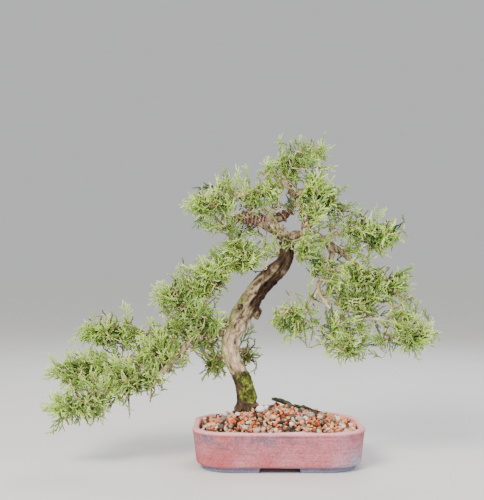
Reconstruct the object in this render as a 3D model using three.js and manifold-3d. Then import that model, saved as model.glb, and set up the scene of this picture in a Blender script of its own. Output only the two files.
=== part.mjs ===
// A juniper bonsai in a hand-built clay tray. Millimetres, +Z up.
// The tray stands on its feet at z = 0, and at the end the whole plant is centred over the origin.

import * as THREE from 'three';
import { mergeVertices } from 'three/addons/utils/BufferGeometryUtils.js';
import Module from 'manifold-3d';

const wasm = await Module();
wasm.setup();

// Driving dimensions

const clearance = 0.3; // left between pieces that touch

const potLength = 234;
const potDepth = 166;
const potHeight = 55; // feet included
const potCorner = 52; // corner radius seen from above
const potTaper = 4; // how much further in the wall stands at its foot
const wallThickness = 8;
const floorThickness = 9;
const lipHeight = 6;
const lipGroove = 1.4;
const footHeight = 7;
const footInset = 9;
const footGapFront = 57; // clear width between the feet, front and back
const footGapSide = 50;
const footSlope = 4; // each foot's inner end leans by this much

const drainRadius = 9;
const drainSpacing = 104;
const meshSize = 28;
const meshThickness = 1;
const meshHoles = 3; // along each side
const clipWire = 1.4; // diameter
const clipLegs = 11; // between the clip's two legs
const clipTail = 9;
const tieWire = 1.8; // diameter
const tieHeight = 20; // how far the tie wire stands up inside

const moundEdgeDrop = 3; // grit below the rim at the wall
const moundHeight = 28; // grit at its highest above its edge
const gritDepth = 8;
const gritLump = 0.9; // how uneven the grit is

const treeHeight = 382; // grit to the tallest shoot
const treeFoot = { x: -42, y: 0 }; // where the trunk leaves the grit
const trunkGirth = 1; // 1 is a foot 30 mm across
const rootSpread = 30;
const rootMass = { length: 84, depth: 70, height: 15 };
const mossThickness = 2.4;

const heavyWire = 2.8; // diameter of the training wire
const lightWire = 1.5;
const coilSlack = 0.8; // air between a coil and its branch

// Materials

const clay = new THREE.MeshStandardMaterial({ color: 0xb27d73, roughness: 0.9, metalness: 0 });
const grit = new THREE.MeshStandardMaterial({ color: 0xa8765a, roughness: 0.95, metalness: 0 });
const loam = new THREE.MeshStandardMaterial({ color: 0x4d3b2c, roughness: 1, metalness: 0 });
const bark = new THREE.MeshStandardMaterial({ color: 0x8d7f68, roughness: 0.9, metalness: 0 });
const deadwood = new THREE.MeshStandardMaterial({ color: 0x3b3a30, roughness: 0.9, metalness: 0 });
const mossGreen = new THREE.MeshStandardMaterial({ color: 0x8f9a1f, roughness: 1, metalness: 0 });
const leafGreen = new THREE.MeshStandardMaterial({ color: 0x8fa85a, roughness: 0.8, metalness: 0 });
const pebble = new THREE.MeshStandardMaterial({ color: 0xc9c5be, roughness: 0.7, metalness: 0 });
const copperWire = new THREE.MeshStandardMaterial({ color: 0x9c6f68, roughness: 0.45, metalness: 0.8 });
const paleWire = new THREE.MeshStandardMaterial({ color: 0xc9c3b8, roughness: 0.4, metalness: 0.8 });
const blackPlastic = new THREE.MeshStandardMaterial({ color: 0x1d1e20, roughness: 0.7, metalness: 0 });

const tray = new THREE.Group();
const plant = new THREE.Group();

// Solids

function solid(geometry) {
  const bare = geometry.clone();
  bare.deleteAttribute('normal');
  bare.deleteAttribute('uv');
  const merged = mergeVertices(bare, 1e-4);
  return new wasm.Manifold(new wasm.Mesh({
    numProp: 3,
    vertProperties: new Float32Array(merged.attributes.position.array),
    triVerts: new Uint32Array(merged.index.array),
  }));
}

function joined(solids) {
  return solids.reduce((whole, piece) => whole.add(piece));
}

function without(body, tools) {
  return tools.reduce((rest, tool) => rest.subtract(tool), body);
}

function largestPiece(body) {
  return body.decompose().reduce((a, b) => (b.volume() > a.volume() ? b : a));
}

function addPart(group, name, body, material) {
  const mesh = body.getMesh();
  const geometry = new THREE.BufferGeometry();
  geometry.setAttribute('position', new THREE.BufferAttribute(mesh.vertProperties, 3));
  geometry.setIndex(new THREE.BufferAttribute(mesh.triVerts, 1));
  geometry.computeVertexNormals();
  const part = new THREE.Mesh(geometry, material);
  part.name = name;
  group.add(part);
}

// A closed skin over rings that have the same number of points, each ring anticlockwise from above.
function loft(rings) {
  const count = rings[0].length;
  const points = rings.flat();
  const index = [];
  for (let r = 0; r + 1 < rings.length; r++) {
    for (let i = 0; i < count; i++) {
      const a = r * count + i;
      const b = r * count + ((i + 1) % count);
      index.push(a, b, b + count, a, b + count, a + count);
    }
  }
  const last = (rings.length - 1) * count;
  const centre = (ring) => ring.reduce((sum, p) => sum.add(p), new THREE.Vector3()).divideScalar(count);
  points.push(centre(rings[0]), centre(rings[rings.length - 1]));
  for (let i = 0; i < count; i++) {
    const j = (i + 1) % count;
    index.push(points.length - 2, j, i, points.length - 1, last + i, last + j);
  }
  const geometry = new THREE.BufferGeometry().setFromPoints(points);
  geometry.setIndex(index);
  return solid(geometry);
}

// The tray's plan outline, moved in by inset, at height z.
function outline(inset, z, cornerSteps = 6) {
  const radius = Math.max(potCorner - inset, 1);
  const points = [];
  for (let corner = 0; corner < 4; corner++) {
    const side = corner === 0 || corner === 3 ? 1 : -1;
    const end = corner < 2 ? 1 : -1;
    for (let i = 0; i <= cornerSteps; i++) {
      const angle = (corner + i / cornerSteps) * Math.PI / 2;
      points.push(new THREE.Vector3(
        side * (potLength / 2 - potCorner) + radius * Math.cos(angle),
        end * (potDepth / 2 - potCorner) + radius * Math.sin(angle),
        z,
      ));
    }
  }
  return points;
}

function box(length, depth, height, x, y, z) {
  return solid(new THREE.BoxGeometry(length, depth, height).translate(x, y, z));
}

function rod(radius, height, x, y, z, sides = 16) {
  const upright = new THREE.CylinderGeometry(radius, radius, height, sides).rotateX(Math.PI / 2);
  return solid(upright.translate(x, y, z));
}

// A round wire bent smoothly through the points.
function bentWire(points, radius) {
  const section = new THREE.Shape(circle(radius, 6));
  const path = new THREE.CatmullRomCurve3(points, false, 'centripetal');
  return solid(new THREE.ExtrudeGeometry(section, { steps: 26, extrudePath: path, bevelEnabled: false }));
}

function circle(radius, sides) {
  return Array.from({ length: sides }, (_, i) => new THREE.Vector2(
    radius * Math.cos(i / sides * 2 * Math.PI),
    radius * Math.sin(i / sides * 2 * Math.PI),
  ));
}

// Tray

const floorTop = footHeight + floorThickness;
const drainPlaces = [-drainSpacing / 2, drainSpacing / 2];

// How far inside the outline the tray's inner wall stands at height z.
function innerInset(z) {
  const cove = 5;
  const lower = THREE.MathUtils.clamp((floorTop + cove - z) / cove, 0, 1);
  const up = THREE.MathUtils.clamp((z - floorTop) / (potHeight - floorTop), 0, 1);
  return wallThickness + potTaper * (1 - up) + cove * lower * lower;
}

function trayBody() {
  const grooveTop = potHeight - lipHeight;
  return loft([
    outline(potTaper + 8, footHeight),
    outline(potTaper + 3, footHeight + 2.5),
    outline(potTaper + 0.5, footHeight + 7),
    outline(lipGroove, grooveTop - 1.5),
    outline(lipGroove, grooveTop),
    outline(0.2, grooveTop + 1),
    outline(0, potHeight - 1.2),
    outline(1.2, potHeight),
  ]);
}

function feet() {
  const through = Math.max(potLength, potDepth) + 20;
  const plinth = loft([outline(potTaper + footInset + 1, 0), outline(potTaper + footInset, footHeight + 2)]);
  const gap = (width) => {
    const shape = new THREE.Shape([
      new THREE.Vector2(-width / 2, -1),
      new THREE.Vector2(width / 2, -1),
      new THREE.Vector2(width / 2 - footSlope, footHeight + 3),
      new THREE.Vector2(-width / 2 + footSlope, footHeight + 3),
    ]);
    return new THREE.ExtrudeGeometry(shape, { depth: through, bevelEnabled: false })
      .translate(0, 0, -through / 2).rotateX(Math.PI / 2);
  };
  return without(plinth, [solid(gap(footGapFront)), solid(gap(footGapSide).rotateZ(Math.PI / 2))]);
}

function pot() {
  const heights = [floorTop, floorTop + 1.5, floorTop + 5, potHeight - 1.5];
  const rings = heights.map((z) => outline(innerInset(z), z));
  rings.push(outline(wallThickness - 1.5, potHeight + 0.01), outline(wallThickness - 1.5, potHeight + 5));
  const drains = drainPlaces.map((x) => rod(drainRadius, floorThickness * 4, x, 0, floorTop));
  return without(trayBody().add(feet()), [loft(rings), ...drains]);
}

function drainageMesh(x) {
  const z = floorTop + clearance + meshThickness / 2;
  const pitch = meshSize / (meshHoles + 1);
  const holes = [];
  for (let i = 1; i <= meshHoles; i++) {
    for (let j = 1; j <= meshHoles; j++) {
      const hole = pitch * 0.6;
      const place = [x + (i - (meshHoles + 1) / 2) * pitch, (j - (meshHoles + 1) / 2) * pitch];
      holes.push(box(hole, hole, meshThickness * 3, place[0], place[1], z));
    }
  }
  return without(box(meshSize, meshSize, meshThickness, x, 0, z), holes);
}

// The clip lies across the mesh and its legs go down the drainage hole and out under the floor.
function meshClip(x, grow = 0) {
  const radius = clipWire / 2;
  const top = floorTop + clearance * 2 + meshThickness + radius;
  const below = footHeight - clearance - radius;
  const leg = clipLegs / 2;
  const bend = radius * 2;
  return bentWire([
    new THREE.Vector3(x, -leg - clipTail, below),
    new THREE.Vector3(x, -leg - bend, below),
    new THREE.Vector3(x, -leg, below + bend),
    new THREE.Vector3(x, -leg, top - bend),
    new THREE.Vector3(x, -leg + bend, top),
    new THREE.Vector3(x, leg - bend, top),
    new THREE.Vector3(x, leg, top - bend),
    new THREE.Vector3(x, leg, below + bend),
    new THREE.Vector3(x, leg + bend, below),
    new THREE.Vector3(x, leg + clipTail, below),
  ], radius + grow);
}

// The tie wire runs under the floor between the holes and stands up through each.
function tieDownWire(grow = 0) {
  const radius = tieWire / 2;
  const below = footHeight - clearance - radius;
  const bend = radius * 2;
  const inner = drainSpacing / 2 - clipWire * 2;
  const half = [
    new THREE.Vector3(inner, 0, floorTop + tieHeight),
    new THREE.Vector3(inner, 0, floorTop),
    new THREE.Vector3(inner, 0, below + bend),
    new THREE.Vector3(inner - bend, 0, below),
    new THREE.Vector3(inner / 2, 0, below),
  ];
  const other = half.map((p) => new THREE.Vector3(-p.x, p.y, p.z)).reverse();
  return bentWire([...half, ...other], radius + grow);
}

// Mound of soil and grit

function lump(x, y) {
  const small = Math.sin(x * 0.61 + y * 0.23) * Math.cos(y * 0.53 - x * 0.17);
  return small + 0.6 * Math.sin(x * 0.19 - y * 0.37 + 1);
}

// Share of the way from the middle of the mound to the tray's inner wall.
function reach(x, y) {
  const a = Math.abs(x) / (potLength / 2 - wallThickness);
  const b = Math.abs(y) / (potDepth / 2 - wallThickness);
  return Math.min(1, (a ** 2.4 + b ** 2.4) ** (1 / 2.4));
}

function gritHeight(x, y) {
  const slope = 1 - reach(x, y) ** 1.35;
  return potHeight - moundEdgeDrop + moundHeight * slope;
}

const moundCornerSteps = 3; // shares its corner points with the tray wall's 6
const moundScales = [1, 0.92, 0.78, 0.62, 0.46, 0.3, 0.14];

// Rings of the mound's surface, one for each scale, lowered by drop.
function moundTop(scales, drop, roughness) {
  const edge = potHeight - moundEdgeDrop - gritDepth;
  return scales.map((scale) => outline(innerInset(edge) + clearance, 0, moundCornerSteps).map((p) => {
    const x = p.x * scale;
    const y = p.y * scale;
    return new THREE.Vector3(x, y, gritHeight(x, y) - drop + roughness * lump(x, y));
  }));
}

function soilBody(grow = 0) {
  const heights = [floorTop, floorTop + 1.5, floorTop + 5];
  const wall = heights.map((z) => outline(innerInset(z) + clearance, z + clearance, moundCornerSteps));
  return loft([...wall, ...moundTop(moundScales, gritDepth + clearance - grow, 0)]);
}

// The grit is everything between the soil's dome and the uneven upper surface.
function gritBody() {
  const edge = moundTop([1], gritDepth, 0);
  return loft([...edge, ...moundTop(moundScales, 0, gritLump)]).subtract(soilBody(clearance));
}

// Tree. Each limb is a list of [x, y, z, radius] from the trunk's foot on the grit, at the drawn height.

const drawnHeight = 382;
const growth = treeHeight / drawnHeight;
const footHeightOnGrit = gritHeight(treeFoot.x, treeFoot.y);

function place(knot) {
  return new THREE.Vector3(
    treeFoot.x + knot[0] * growth,
    treeFoot.y + knot[1] * growth,
    footHeightOnGrit + knot[2] * growth,
  );
}

function limbPath(knots) {
  return new THREE.CatmullRomCurve3(knots.map(place), false, 'centripetal');
}

function limbRadius(knots, path, along) {
  const t = path.getUtoTmapping(along) * (knots.length - 1);
  const i = Math.min(Math.floor(t), knots.length - 2);
  return THREE.MathUtils.lerp(knots[i][3], knots[i + 1][3], t - i) * growth;
}

// A tube of radius 1 along the path, with each ring then opened or drawn in to the limb's own radius.
function limb(knots, grow = 0, sides = 6, stepLength = 17) {
  const path = limbPath(knots);
  const steps = Math.max(3, Math.round(path.getLength() / stepLength));
  const section = new THREE.Shape(circle(1, sides));
  const tube = new THREE.ExtrudeGeometry(section, { steps, extrudePath: path, bevelEnabled: false });
  const stations = path.getSpacedPoints(steps);
  const point = new THREE.Vector3();
  const position = tube.attributes.position;
  for (let v = 0; v < position.count; v++) {
    point.fromBufferAttribute(position, v);
    const gaps = stations.map((station) => station.distanceToSquared(point));
    const k = gaps.indexOf(Math.min(...gaps));
    point.sub(stations[k]).multiplyScalar(limbRadius(knots, path, k / steps) + grow).add(stations[k]);
    position.setXYZ(v, point.x, point.y, point.z);
  }
  return solid(tube);
}

function limbs(lists, grow = 0, sides = 6, stepLength = 17) {
  return joined(lists.map((knots) => limb(knots, grow, sides, stepLength)));
}

const bigPad = 36; // a lump with a longer half than this is drawn with more faces

// An egg-shaped lump, a little uneven, so that no two look alike.
function blob(at, half, grow = 0, detail = half[0] > bigPad ? 2 : 1, unevenness = 0.08) {
  const ball = new THREE.IcosahedronGeometry(1, detail);
  const centre = place(at);
  const point = new THREE.Vector3();
  const position = ball.attributes.position;
  for (let v = 0; v < position.count; v++) {
    point.fromBufferAttribute(position, v);
    const wave = Math.sin(point.x * 4 + at[0]) * Math.cos(point.y * 3 - point.z * 4 + at[2]);
    const swell = 1 + unevenness * wave;
    position.setXYZ(
      v,
      centre.x + point.x * swell * (half[0] * growth + grow),
      centre.y + point.y * swell * (half[1] * growth + grow),
      centre.z + point.z * swell * (half[2] * growth + grow),
    );
  }
  return solid(ball);
}

const trunkLine = [
  [1, 0, -16, 14], [0, 0, 0, 15], [0, 0, 13, 14.6], [-4, -1, 29, 12.8], [-8, -2, 44, 11.9],
  [-16, -2, 59, 10.8], [-23, -2, 75, 11.3], [-26, -1, 90, 12], [-24, 0, 103, 12.6], [-18, 1, 114, 13.2],
  [-10, 2, 127, 13.2], [-2, 3, 139, 12.7], [7, 3, 152, 12.4], [16, 2, 164, 12.4], [28, 0, 180, 12.4],
  [41, -3, 193, 11.6], [49, -5, 202, 10.5], [54, -7, 214, 9.8], [54, -8, 227, 9.8], [54, -9, 238, 9.6],
];
const trunkKnots = trunkLine.map((knot) => [knot[0], knot[1], knot[2], knot[3] * trunkGirth]);
const burrs = [
  { at: [14, 3, 135], half: [7, 8, 9] },
  { at: [-12, -4, 118], half: [12, 12, 12] },
  { at: [2, -3, 6], half: [19, 17, 9] },
];
const rootTurns = [0.02, 0.27, 0.45, 0.62, 0.78]; // of a full turn

function surfaceRoot(turn) {
  const dx = Math.cos(turn * 2 * Math.PI);
  const dy = Math.sin(turn * 2 * Math.PI);
  return [
    [dx * 4, dy * 4, 16, 9], [dx * 14, dy * 14, 4, 6.5],
    [dx * rootSpread * 0.75, dy * rootSpread * 0.75, -5, 4.5], [dx * rootSpread, dy * rootSpread, -15, 3],
  ];
}

function trunk(grow = 0) {
  const roots = rootTurns.map((turn) => limb(surfaceRoot(turn), grow, 5));
  const mass = blob(
    [0, 0, -20],
    [rootMass.length / 2 / growth, rootMass.depth / 2 / growth, rootMass.height / 2 / growth],
    grow,
    1,
  );
  const lumps = burrs.map((burr) => blob(burr.at, burr.half.map((h) => h * trunkGirth), grow, 1));
  return joined([limb(trunkKnots, grow, 10, 12), ...roots, mass, ...lumps]);
}

const topLeft = [
  [54, -9, 240, 9], [42, -10, 251, 8.6], [28, -11, 258, 8.3], [13, -12, 264, 7.6], [-1, -13, 268, 6.6],
  [-14, -12, 268, 5.6], [-22, -9, 261, 4.5], [-24, -6, 248, 3.6], [-22, -2, 236, 3.4],
];
const apexLeader = [
  [31, -9, 265, 5.6], [44, 0, 268, 5.3], [54, 5, 273, 5.2], [62, 6, 286, 4.8], [64, 4, 297, 4.3],
  [62, 2, 306, 3.9], [55, 0, 315, 3.4], [54, -2, 323, 2.8], [42, -4, 329, 2.3], [32, -8, 334, 1.7],
];
const apexArc = [
  [62, 6, 286, 3.6], [71, -2, 287, 3.2], [79, -8, 278, 3.1], [81, -14, 264, 2.6], [78, -20, 249, 2.1],
  [73, -26, 232, 1.5],
];
const rightMain = [
  [52, -8, 238, 8.4], [74, -4, 245, 7.3], [93, 0, 244, 6.5], [107, 4, 237, 5.9], [120, 6, 229, 5.2],
  [135, 8, 219, 4.5], [147, 10, 208, 4], [163, 12, 195, 3.4], [188, 14, 183, 2.6], [208, 14, 171, 1.7],
];
const hangingMain = [
  [114, 3, 232, 4.6], [118, -4, 219, 4.2], [115, -9, 205, 3.9], [107, -12, 191, 3.6], [99, -14, 178, 3.3],
  [96, -15, 166, 3.2], [103, -15, 156, 2.9], [113, -15, 143, 2.5], [125, -16, 132, 2.2],
  [144, -17, 125, 1.9], [168, -18, 115, 1.5],
];
const leftLowMain = [
  [-22, 0, 108, 8], [-37, -4, 109, 6.6], [-53, -8, 105, 5.9], [-71, -12, 101, 5.3], [-86, -16, 90, 4.4],
  [-99, -20, 75, 3.9], [-114, -24, 59, 3.6], [-134, -27, 43, 3.3], [-155, -29, 40, 3], [-172, -31, 39, 2.9],
  [-187, -33, 33, 2.6], [-202, -35, 25, 2.3], [-223, -38, 17, 1.8], [-247, -40, 11, 1.2],
];

// Each branch: its limbs, the branch that it grows from, if not the trunk, and the wire over its foot.
const branches = {
  branch_top_left: {
    wired: true,
    limbs: [
      topLeft,
      [[-20, -11, 264, 2.8], [-32, -14, 255, 2.1], [-48, -20, 245, 1.5]],
      [[23, -11, 262, 5.6], [31, -10, 272, 4.8], [36, -12, 281, 3.6]],
    ],
  },
  branch_apex: {
    from: ['branch_top_left'],
    wired: true,
    limbs: [
      apexLeader,
      [[52, -3, 323, 2.5], [48, 0, 337, 2.2], [59, 4, 349, 2.1], [79, 6, 356, 1.8], [96, 8, 362, 1.6],
        [105, 8, 374, 1.3]],
    ],
  },
  branch_apex_right: {
    from: ['branch_apex'],
    crossedBy: ['wire_apex'],
    limbs: [
      [[64, 4, 298, 3.7], [75, 10, 307, 3.1], [91, 14, 313, 2.6], [108, 12, 307, 2], [122, 8, 293, 1.4]],
    ],
  },
  branch_apex_arc: {
    from: ['branch_apex', 'branch_apex_right'],
    crossedBy: ['wire_apex'],
    wired: true,
    limbs: [apexArc],
  },
  branch_apex_left: {
    from: ['branch_apex'],
    crossedBy: ['wire_apex'],
    limbs: [
      [[54, 0, 313, 3.1], [40, -2, 314, 2.7], [24, -4, 312, 2.5], [-1, -8, 304, 2.2], [-21, -12, 294, 1.9],
        [-36, -16, 290, 1.7], [-55, -20, 287, 1.2]],
      [[-11, -10, 300, 1.9], [-22, -2, 309, 1.7], [-36, 6, 315, 1.3]],
    ],
  },
  branch_right: {
    from: ['branch_top_left'],
    limbs: [
      rightMain,
      [[104, 3, 239, 3.7], [128, 12, 249, 2.8], [154, 18, 257, 2.3], [183, 22, 254, 1.9],
        [204, 24, 243, 1.3]],
    ],
  },
  branch_hanging: {
    from: ['branch_right'],
    limbs: [
      hangingMain,
      [[96, -15, 168, 2.5], [90, -18, 152, 1.9], [80, -22, 140, 1.7], [58, -26, 142, 1.5],
        [38, -30, 146, 1.1]],
      [[101, -15, 158, 2.4], [115, -14, 151, 1.9], [131, -12, 147, 1.7], [145, -10, 149, 1.5],
        [173, -6, 144, 1.3]],
      [[141, -17, 126, 1.9], [176, -18, 128, 1.8], [203, -20, 122, 1.5], [226, -22, 110, 1.1]],
      [[127, -16, 131, 1.9], [135, -24, 111, 1.5], [136, -30, 91, 1.1]],
    ],
  },
  branch_left_low: {
    limbs: [
      leftLowMain,
      [[-97, -19, 78, 3], [-122, -10, 83, 2.8], [-151, -2, 79, 2.4], [-183, 4, 67, 2], [-217, 8, 56, 1.7],
        [-248, 8, 50, 1.3]],
    ],
  },
  branch_left_upper: {
    from: ['branch_left_low'],
    limbs: [
      [[-19, 4, 119, 4.8], [-42, 10, 122, 4], [-68, 16, 121, 3.4], [-88, 20, 120, 3], [-107, 22, 117, 2.7],
        [-121, 24, 108, 2.4], [-143, 26, 106, 2.3], [-163, 28, 106, 2], [-186, 30, 108, 1.7],
        [-209, 30, 111, 1.3]],
    ],
  },
  branch_mid_left: {
    from: ['branch_top_left'],
    limbs: [
      [[-22, -2, 236, 3], [-16, 4, 222, 3], [-12, 7, 210, 3], [-19, 5, 198, 2.8], [-32, 2, 191, 2.7],
        [-45, -2, 182, 2.5], [-51, -5, 172, 2.4], [-64, -8, 168, 2.1], [-86, -12, 165, 1.8],
        [-108, -16, 159, 1.4]],
      [[-31, 2, 191, 2.2], [-44, -6, 201, 1.8], [-58, -12, 205, 1.3]],
      [[-51, -5, 172, 2.1], [-58, -12, 152, 1.7], [-70, -18, 132, 1.2]],
    ],
  },
  branch_back_right: { limbs: [[[-22, 4, 88, 3.4], [-14, 24, 84, 2.6], [-1, 46, 75, 1.7]]] },
  branch_back_left: { limbs: [[[-23, 4, 80, 3.1], [-37, 22, 74, 2.3], [-49, 40, 64, 1.6]]] },
};

const wiredStep = 8; // a wired branch has shorter steps, so that it stays inside its coils

function branchBody(name, grow = 0) {
  const branch = branches[name];
  return branch.wired ? limbs(branch.limbs, grow, 6, wiredStep) : limbs(branch.limbs, grow);
}

// Training wire: a coil round part of a limb, from one share of its length to another.
class Coil extends THREE.Curve {
  constructor(knots, from, to, turns, wireRadius, startTurn) {
    super();
    Object.assign(this, { knots, from, to, turns, wireRadius, startTurn });
    this.path = limbPath(knots);
    this.frameCount = 120;
    this.frames = this.path.computeFrenetFrames(this.frameCount, false);
    this.arcLengthDivisions = 60 * Math.ceil(turns);
  }

  getPoint(t, target = new THREE.Vector3()) {
    const along = THREE.MathUtils.lerp(this.from, this.to, t);
    const place = along * this.frameCount;
    const k = Math.min(Math.floor(place), this.frameCount - 1);
    const blend = place - k;
    const normal = this.frames.normals[k].clone().lerp(this.frames.normals[k + 1], blend).normalize();
    const binormal = this.frames.binormals[k].clone().lerp(this.frames.binormals[k + 1], blend).normalize();
    const angle = (this.startTurn + t * this.turns) * 2 * Math.PI;
    const radius = limbRadius(this.knots, this.path, along) * 1.03 + this.wireRadius + coilSlack;
    return target.copy(this.path.getPointAt(along))
      .addScaledVector(normal, radius * Math.cos(angle))
      .addScaledVector(binormal, radius * Math.sin(angle));
  }
}

function coilBody(coil, grow = 0) {
  const path = new Coil(coil.knots, coil.from, coil.to, coil.turns, coil.wire / 2, coil.startTurn);
  const section = new THREE.Shape(circle(coil.wire / 2 + grow, 5));
  const steps = Math.round(coil.turns * 8);
  return solid(new THREE.ExtrudeGeometry(section, { steps, extrudePath: path, bevelEnabled: false }));
}

// The space that a coil and its limb take up.
function coilSleeve(coil, grow) {
  const path = limbPath(coil.knots);
  const along = (t) => THREE.MathUtils.lerp(coil.from - 0.02, coil.to + 0.02, t);
  const shares = [0, 0.2, 0.4, 0.6, 0.8, 1].map(along);
  const centres = shares.map((share) => path.getPointAt(THREE.MathUtils.clamp(share, 0, 1)));
  const sleeve = new THREE.CatmullRomCurve3(centres, false, 'centripetal');
  const radius = limbRadius(coil.knots, path, coil.from) + coil.wire + coilSlack * 2 + grow;
  const section = new THREE.Shape(circle(radius, 8));
  return solid(new THREE.ExtrudeGeometry(section, { steps: 8, extrudePath: sleeve, bevelEnabled: false }));
}

const coils = {
  wire_top_left_outer: { knots: topLeft, from: 0.36, to: 0.6, turns: 2.6, wire: heavyWire, startTurn: 0 },
  wire_top_left_inner: { knots: topLeft, from: 0.4, to: 0.64, turns: 2.6, wire: heavyWire, startTurn: 0 },
  wire_apex: { knots: apexLeader, from: 0.12, to: 0.66, turns: 5, wire: heavyWire, startTurn: 0.1 },
  wire_apex_arc: { knots: apexArc, from: 0.24, to: 0.72, turns: 4, wire: heavyWire * 0.8, startTurn: 0 },
  wire_ring: { knots: topLeft, from: 0.09, to: 0.14, turns: 1.3, wire: lightWire, startTurn: 0.2 },
};

// Foliage pads: the space that each cloud of sprays fills.
const pads = {
  foliage_left_tip: { at: [-229, -38, 12], half: [56, 38, 24] },
  foliage_left_outer: { at: [-237, 8, 58], half: [51, 36, 30] },
  foliage_left_crown: { at: [-200, 28, 104], half: [50, 34, 24] },
  foliage_left_middle: { at: [-160, -26, 52], half: [45, 34, 33] },
  foliage_left_inner: { at: [-120, 2, 86], half: [38, 40, 34] },
  foliage_left_shoulder: { at: [-74, -8, 128], half: [40, 36, 26] },
  foliage_mid_tip: { at: [-99, -16, 160], half: [34, 26, 19] },
  foliage_mid_crown: { at: [-55, -6, 190], half: [34, 30, 25] },
  foliage_mid_upper: { at: [-8, 2, 219], half: [38, 30, 30] },
  foliage_fan_left: { at: [-58, -18, 287], half: [35, 26, 23] },
  foliage_fan_upper: { at: [-34, 8, 320], half: [21, 16, 13] },
  foliage_apex_left: { at: [18, -4, 303], half: [28, 22, 16] },
  foliage_apex_crown: { at: [64, 2, 348], half: [43, 30, 20] },
  foliage_apex_spike: { at: [105, 8, 371], half: [12, 12, 17] },
  foliage_apex_right: { at: [104, 6, 298], half: [32, 34, 40] },
  foliage_right_crown: { at: [177, 18, 243], half: [45, 38, 38] },
  foliage_right_tip: { at: [210, 16, 176], half: [26, 26, 26] },
  foliage_right_middle: { at: [156, -4, 170], half: [40, 36, 34] },
  foliage_right_outer: { at: [228, -22, 109], half: [32, 28, 32] },
  foliage_right_low: { at: [136, -30, 93], half: [31, 28, 26] },
  foliage_hanging_tip: { at: [60, -28, 123], half: [30, 26, 28] },
  foliage_front: { at: [88, -28, 219], half: [26, 18, 26] },
  foliage_back_right: { at: [-1, 48, 73], half: [19, 16, 22] },
  foliage_back_left: { at: [-49, 42, 65], half: [19, 16, 23] },
};

// Moss on the near side of the trunk's foot, with a slanted upper edge.
function moss() {
  const lower = trunkKnots.slice(1, 6).map((knot) => [knot[0] + 1, knot[1] - 2, knot[2] + 4, knot[3]]);
  const coat = limb(lower, mossThickness, 10, 22);
  const lowerLimit = place([0, 0, 6]).z;
  const upper = place([-8, 0, 42]);
  const cutAway = new THREE.BoxGeometry(120, 120, 80).translate(0, 0, 40).rotateY(0.5);
  cutAway.translate(upper.x, upper.y, upper.z);
  const ground = box(120, 120, 80, lower[0][0] + treeFoot.x, 0, lowerLimit - 40);
  return largestPiece(without(coat, [solid(cutAway), ground, trunk(clearance)]));
}

function deadRoot(grow = 0) {
  return limbs([
    [[66, 5, 1, 3], [60, 6, 6, 3.3], [51, 8, 10, 3.7], [43, 10, 13, 3.1], [34, 12, 14, 1.8]],
    [[60, 5, 6, 1.6], [74, 1, 5, 1.2], [88, -2, 2, 0.8]],
  ], grow, 6);
}

// Loose stones: place on the grit, and half sizes. The largest leans on the root flare.
const stones = {
  stone_white_large: { x: treeFoot.x + 17 * growth, y: treeFoot.y - 20 * growth, half: [6.5, 5.5, 5] },
  stone_white_small: { x: -56, y: -17, half: [4.2, 3.8, 3.2] },
  stone_grey_left: { x: -76, y: -22, half: [5, 4.4, 3.6] },
  stone_tan_front: { x: -8, y: -44, half: [5.4, 4.6, 3.8] },
  stone_grey_right: { x: 44, y: -30, half: [5, 5.2, 4] },
  stone_red_right: { x: 72, y: -8, half: [5.6, 4.6, 3.8] },
};

function stoneBody(stone, grow = 0) {
  const ball = new THREE.IcosahedronGeometry(1, 1);
  ball.scale(stone.half[0] + grow, stone.half[1] + grow, stone.half[2] + grow).rotateZ(stone.x);
  return solid(ball.translate(stone.x, stone.y, gritHeight(stone.x, stone.y) + stone.half[2] * 0.55));
}

// Assembly

const trunkSpace = trunk(clearance);
const stoneSpaces = Object.values(stones).map((stone) => stoneBody(stone, clearance));
const deadRootSpace = deadRoot(clearance);

addPart(tray, 'pot', pot(), clay);
const sides = ['left', 'right'];
drainPlaces.forEach((x, i) => {
  const wireHoles = [tieDownWire(clearance), meshClip(x, clearance)];
  addPart(tray, `drainage_mesh_${sides[i]}`, largestPiece(without(drainageMesh(x), wireHoles)), blackPlastic);
  addPart(tray, `mesh_clip_${sides[i]}`, meshClip(x), paleWire);
});
addPart(tray, 'tie_down_wire', tieDownWire(), paleWire);

const underSoil = drainPlaces.flatMap((x) => [
  box(meshSize + 2 * clearance, meshSize + 2 * clearance, 4 * meshThickness, x, 0, floorTop),
  meshClip(x, clearance),
]);
const inSoil = [trunkSpace, ...underSoil, tieDownWire(clearance)];
addPart(tray, 'soil', largestPiece(without(soilBody(), inSoil)), loam);
const inGrit = [trunkSpace, deadRootSpace, ...stoneSpaces];
addPart(tray, 'grit_layer', largestPiece(without(gritBody(), inGrit)), grit);
for (const [name, stone] of Object.entries(stones)) {
  addPart(tray, name, without(stoneBody(stone), [trunkSpace]), pebble);
}

addPart(plant, 'trunk', trunk(), bark);
addPart(plant, 'moss', moss(), mossGreen);
addPart(plant, 'dead_root', deadRoot(), deadwood);

const taken = [trunkSpace];
for (const [name, branch] of Object.entries(branches)) {
  const parents = (branch.from ?? []).map((parent) => branchBody(parent, clearance));
  const wires = (branch.crossedBy ?? []).map((wire) => coilBody(coils[wire], clearance));
  const body = without(branchBody(name), [trunkSpace, ...parents, ...wires]);
  addPart(plant, name, largestPiece(body), bark);
  taken.push(branchBody(name, clearance));
}
for (const [name, coil] of Object.entries(coils)) {
  addPart(plant, name, coilBody(coil), coil.wire === lightWire ? paleWire : copperWire);
  taken.push(coilSleeve(coil, clearance));
}

for (const [name, pad] of Object.entries(pads)) {
  addPart(plant, name, largestPiece(without(blob(pad.at, pad.half), taken)), leafGreen);
  taken.push(blob(pad.at, pad.half, clearance));
}

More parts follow.
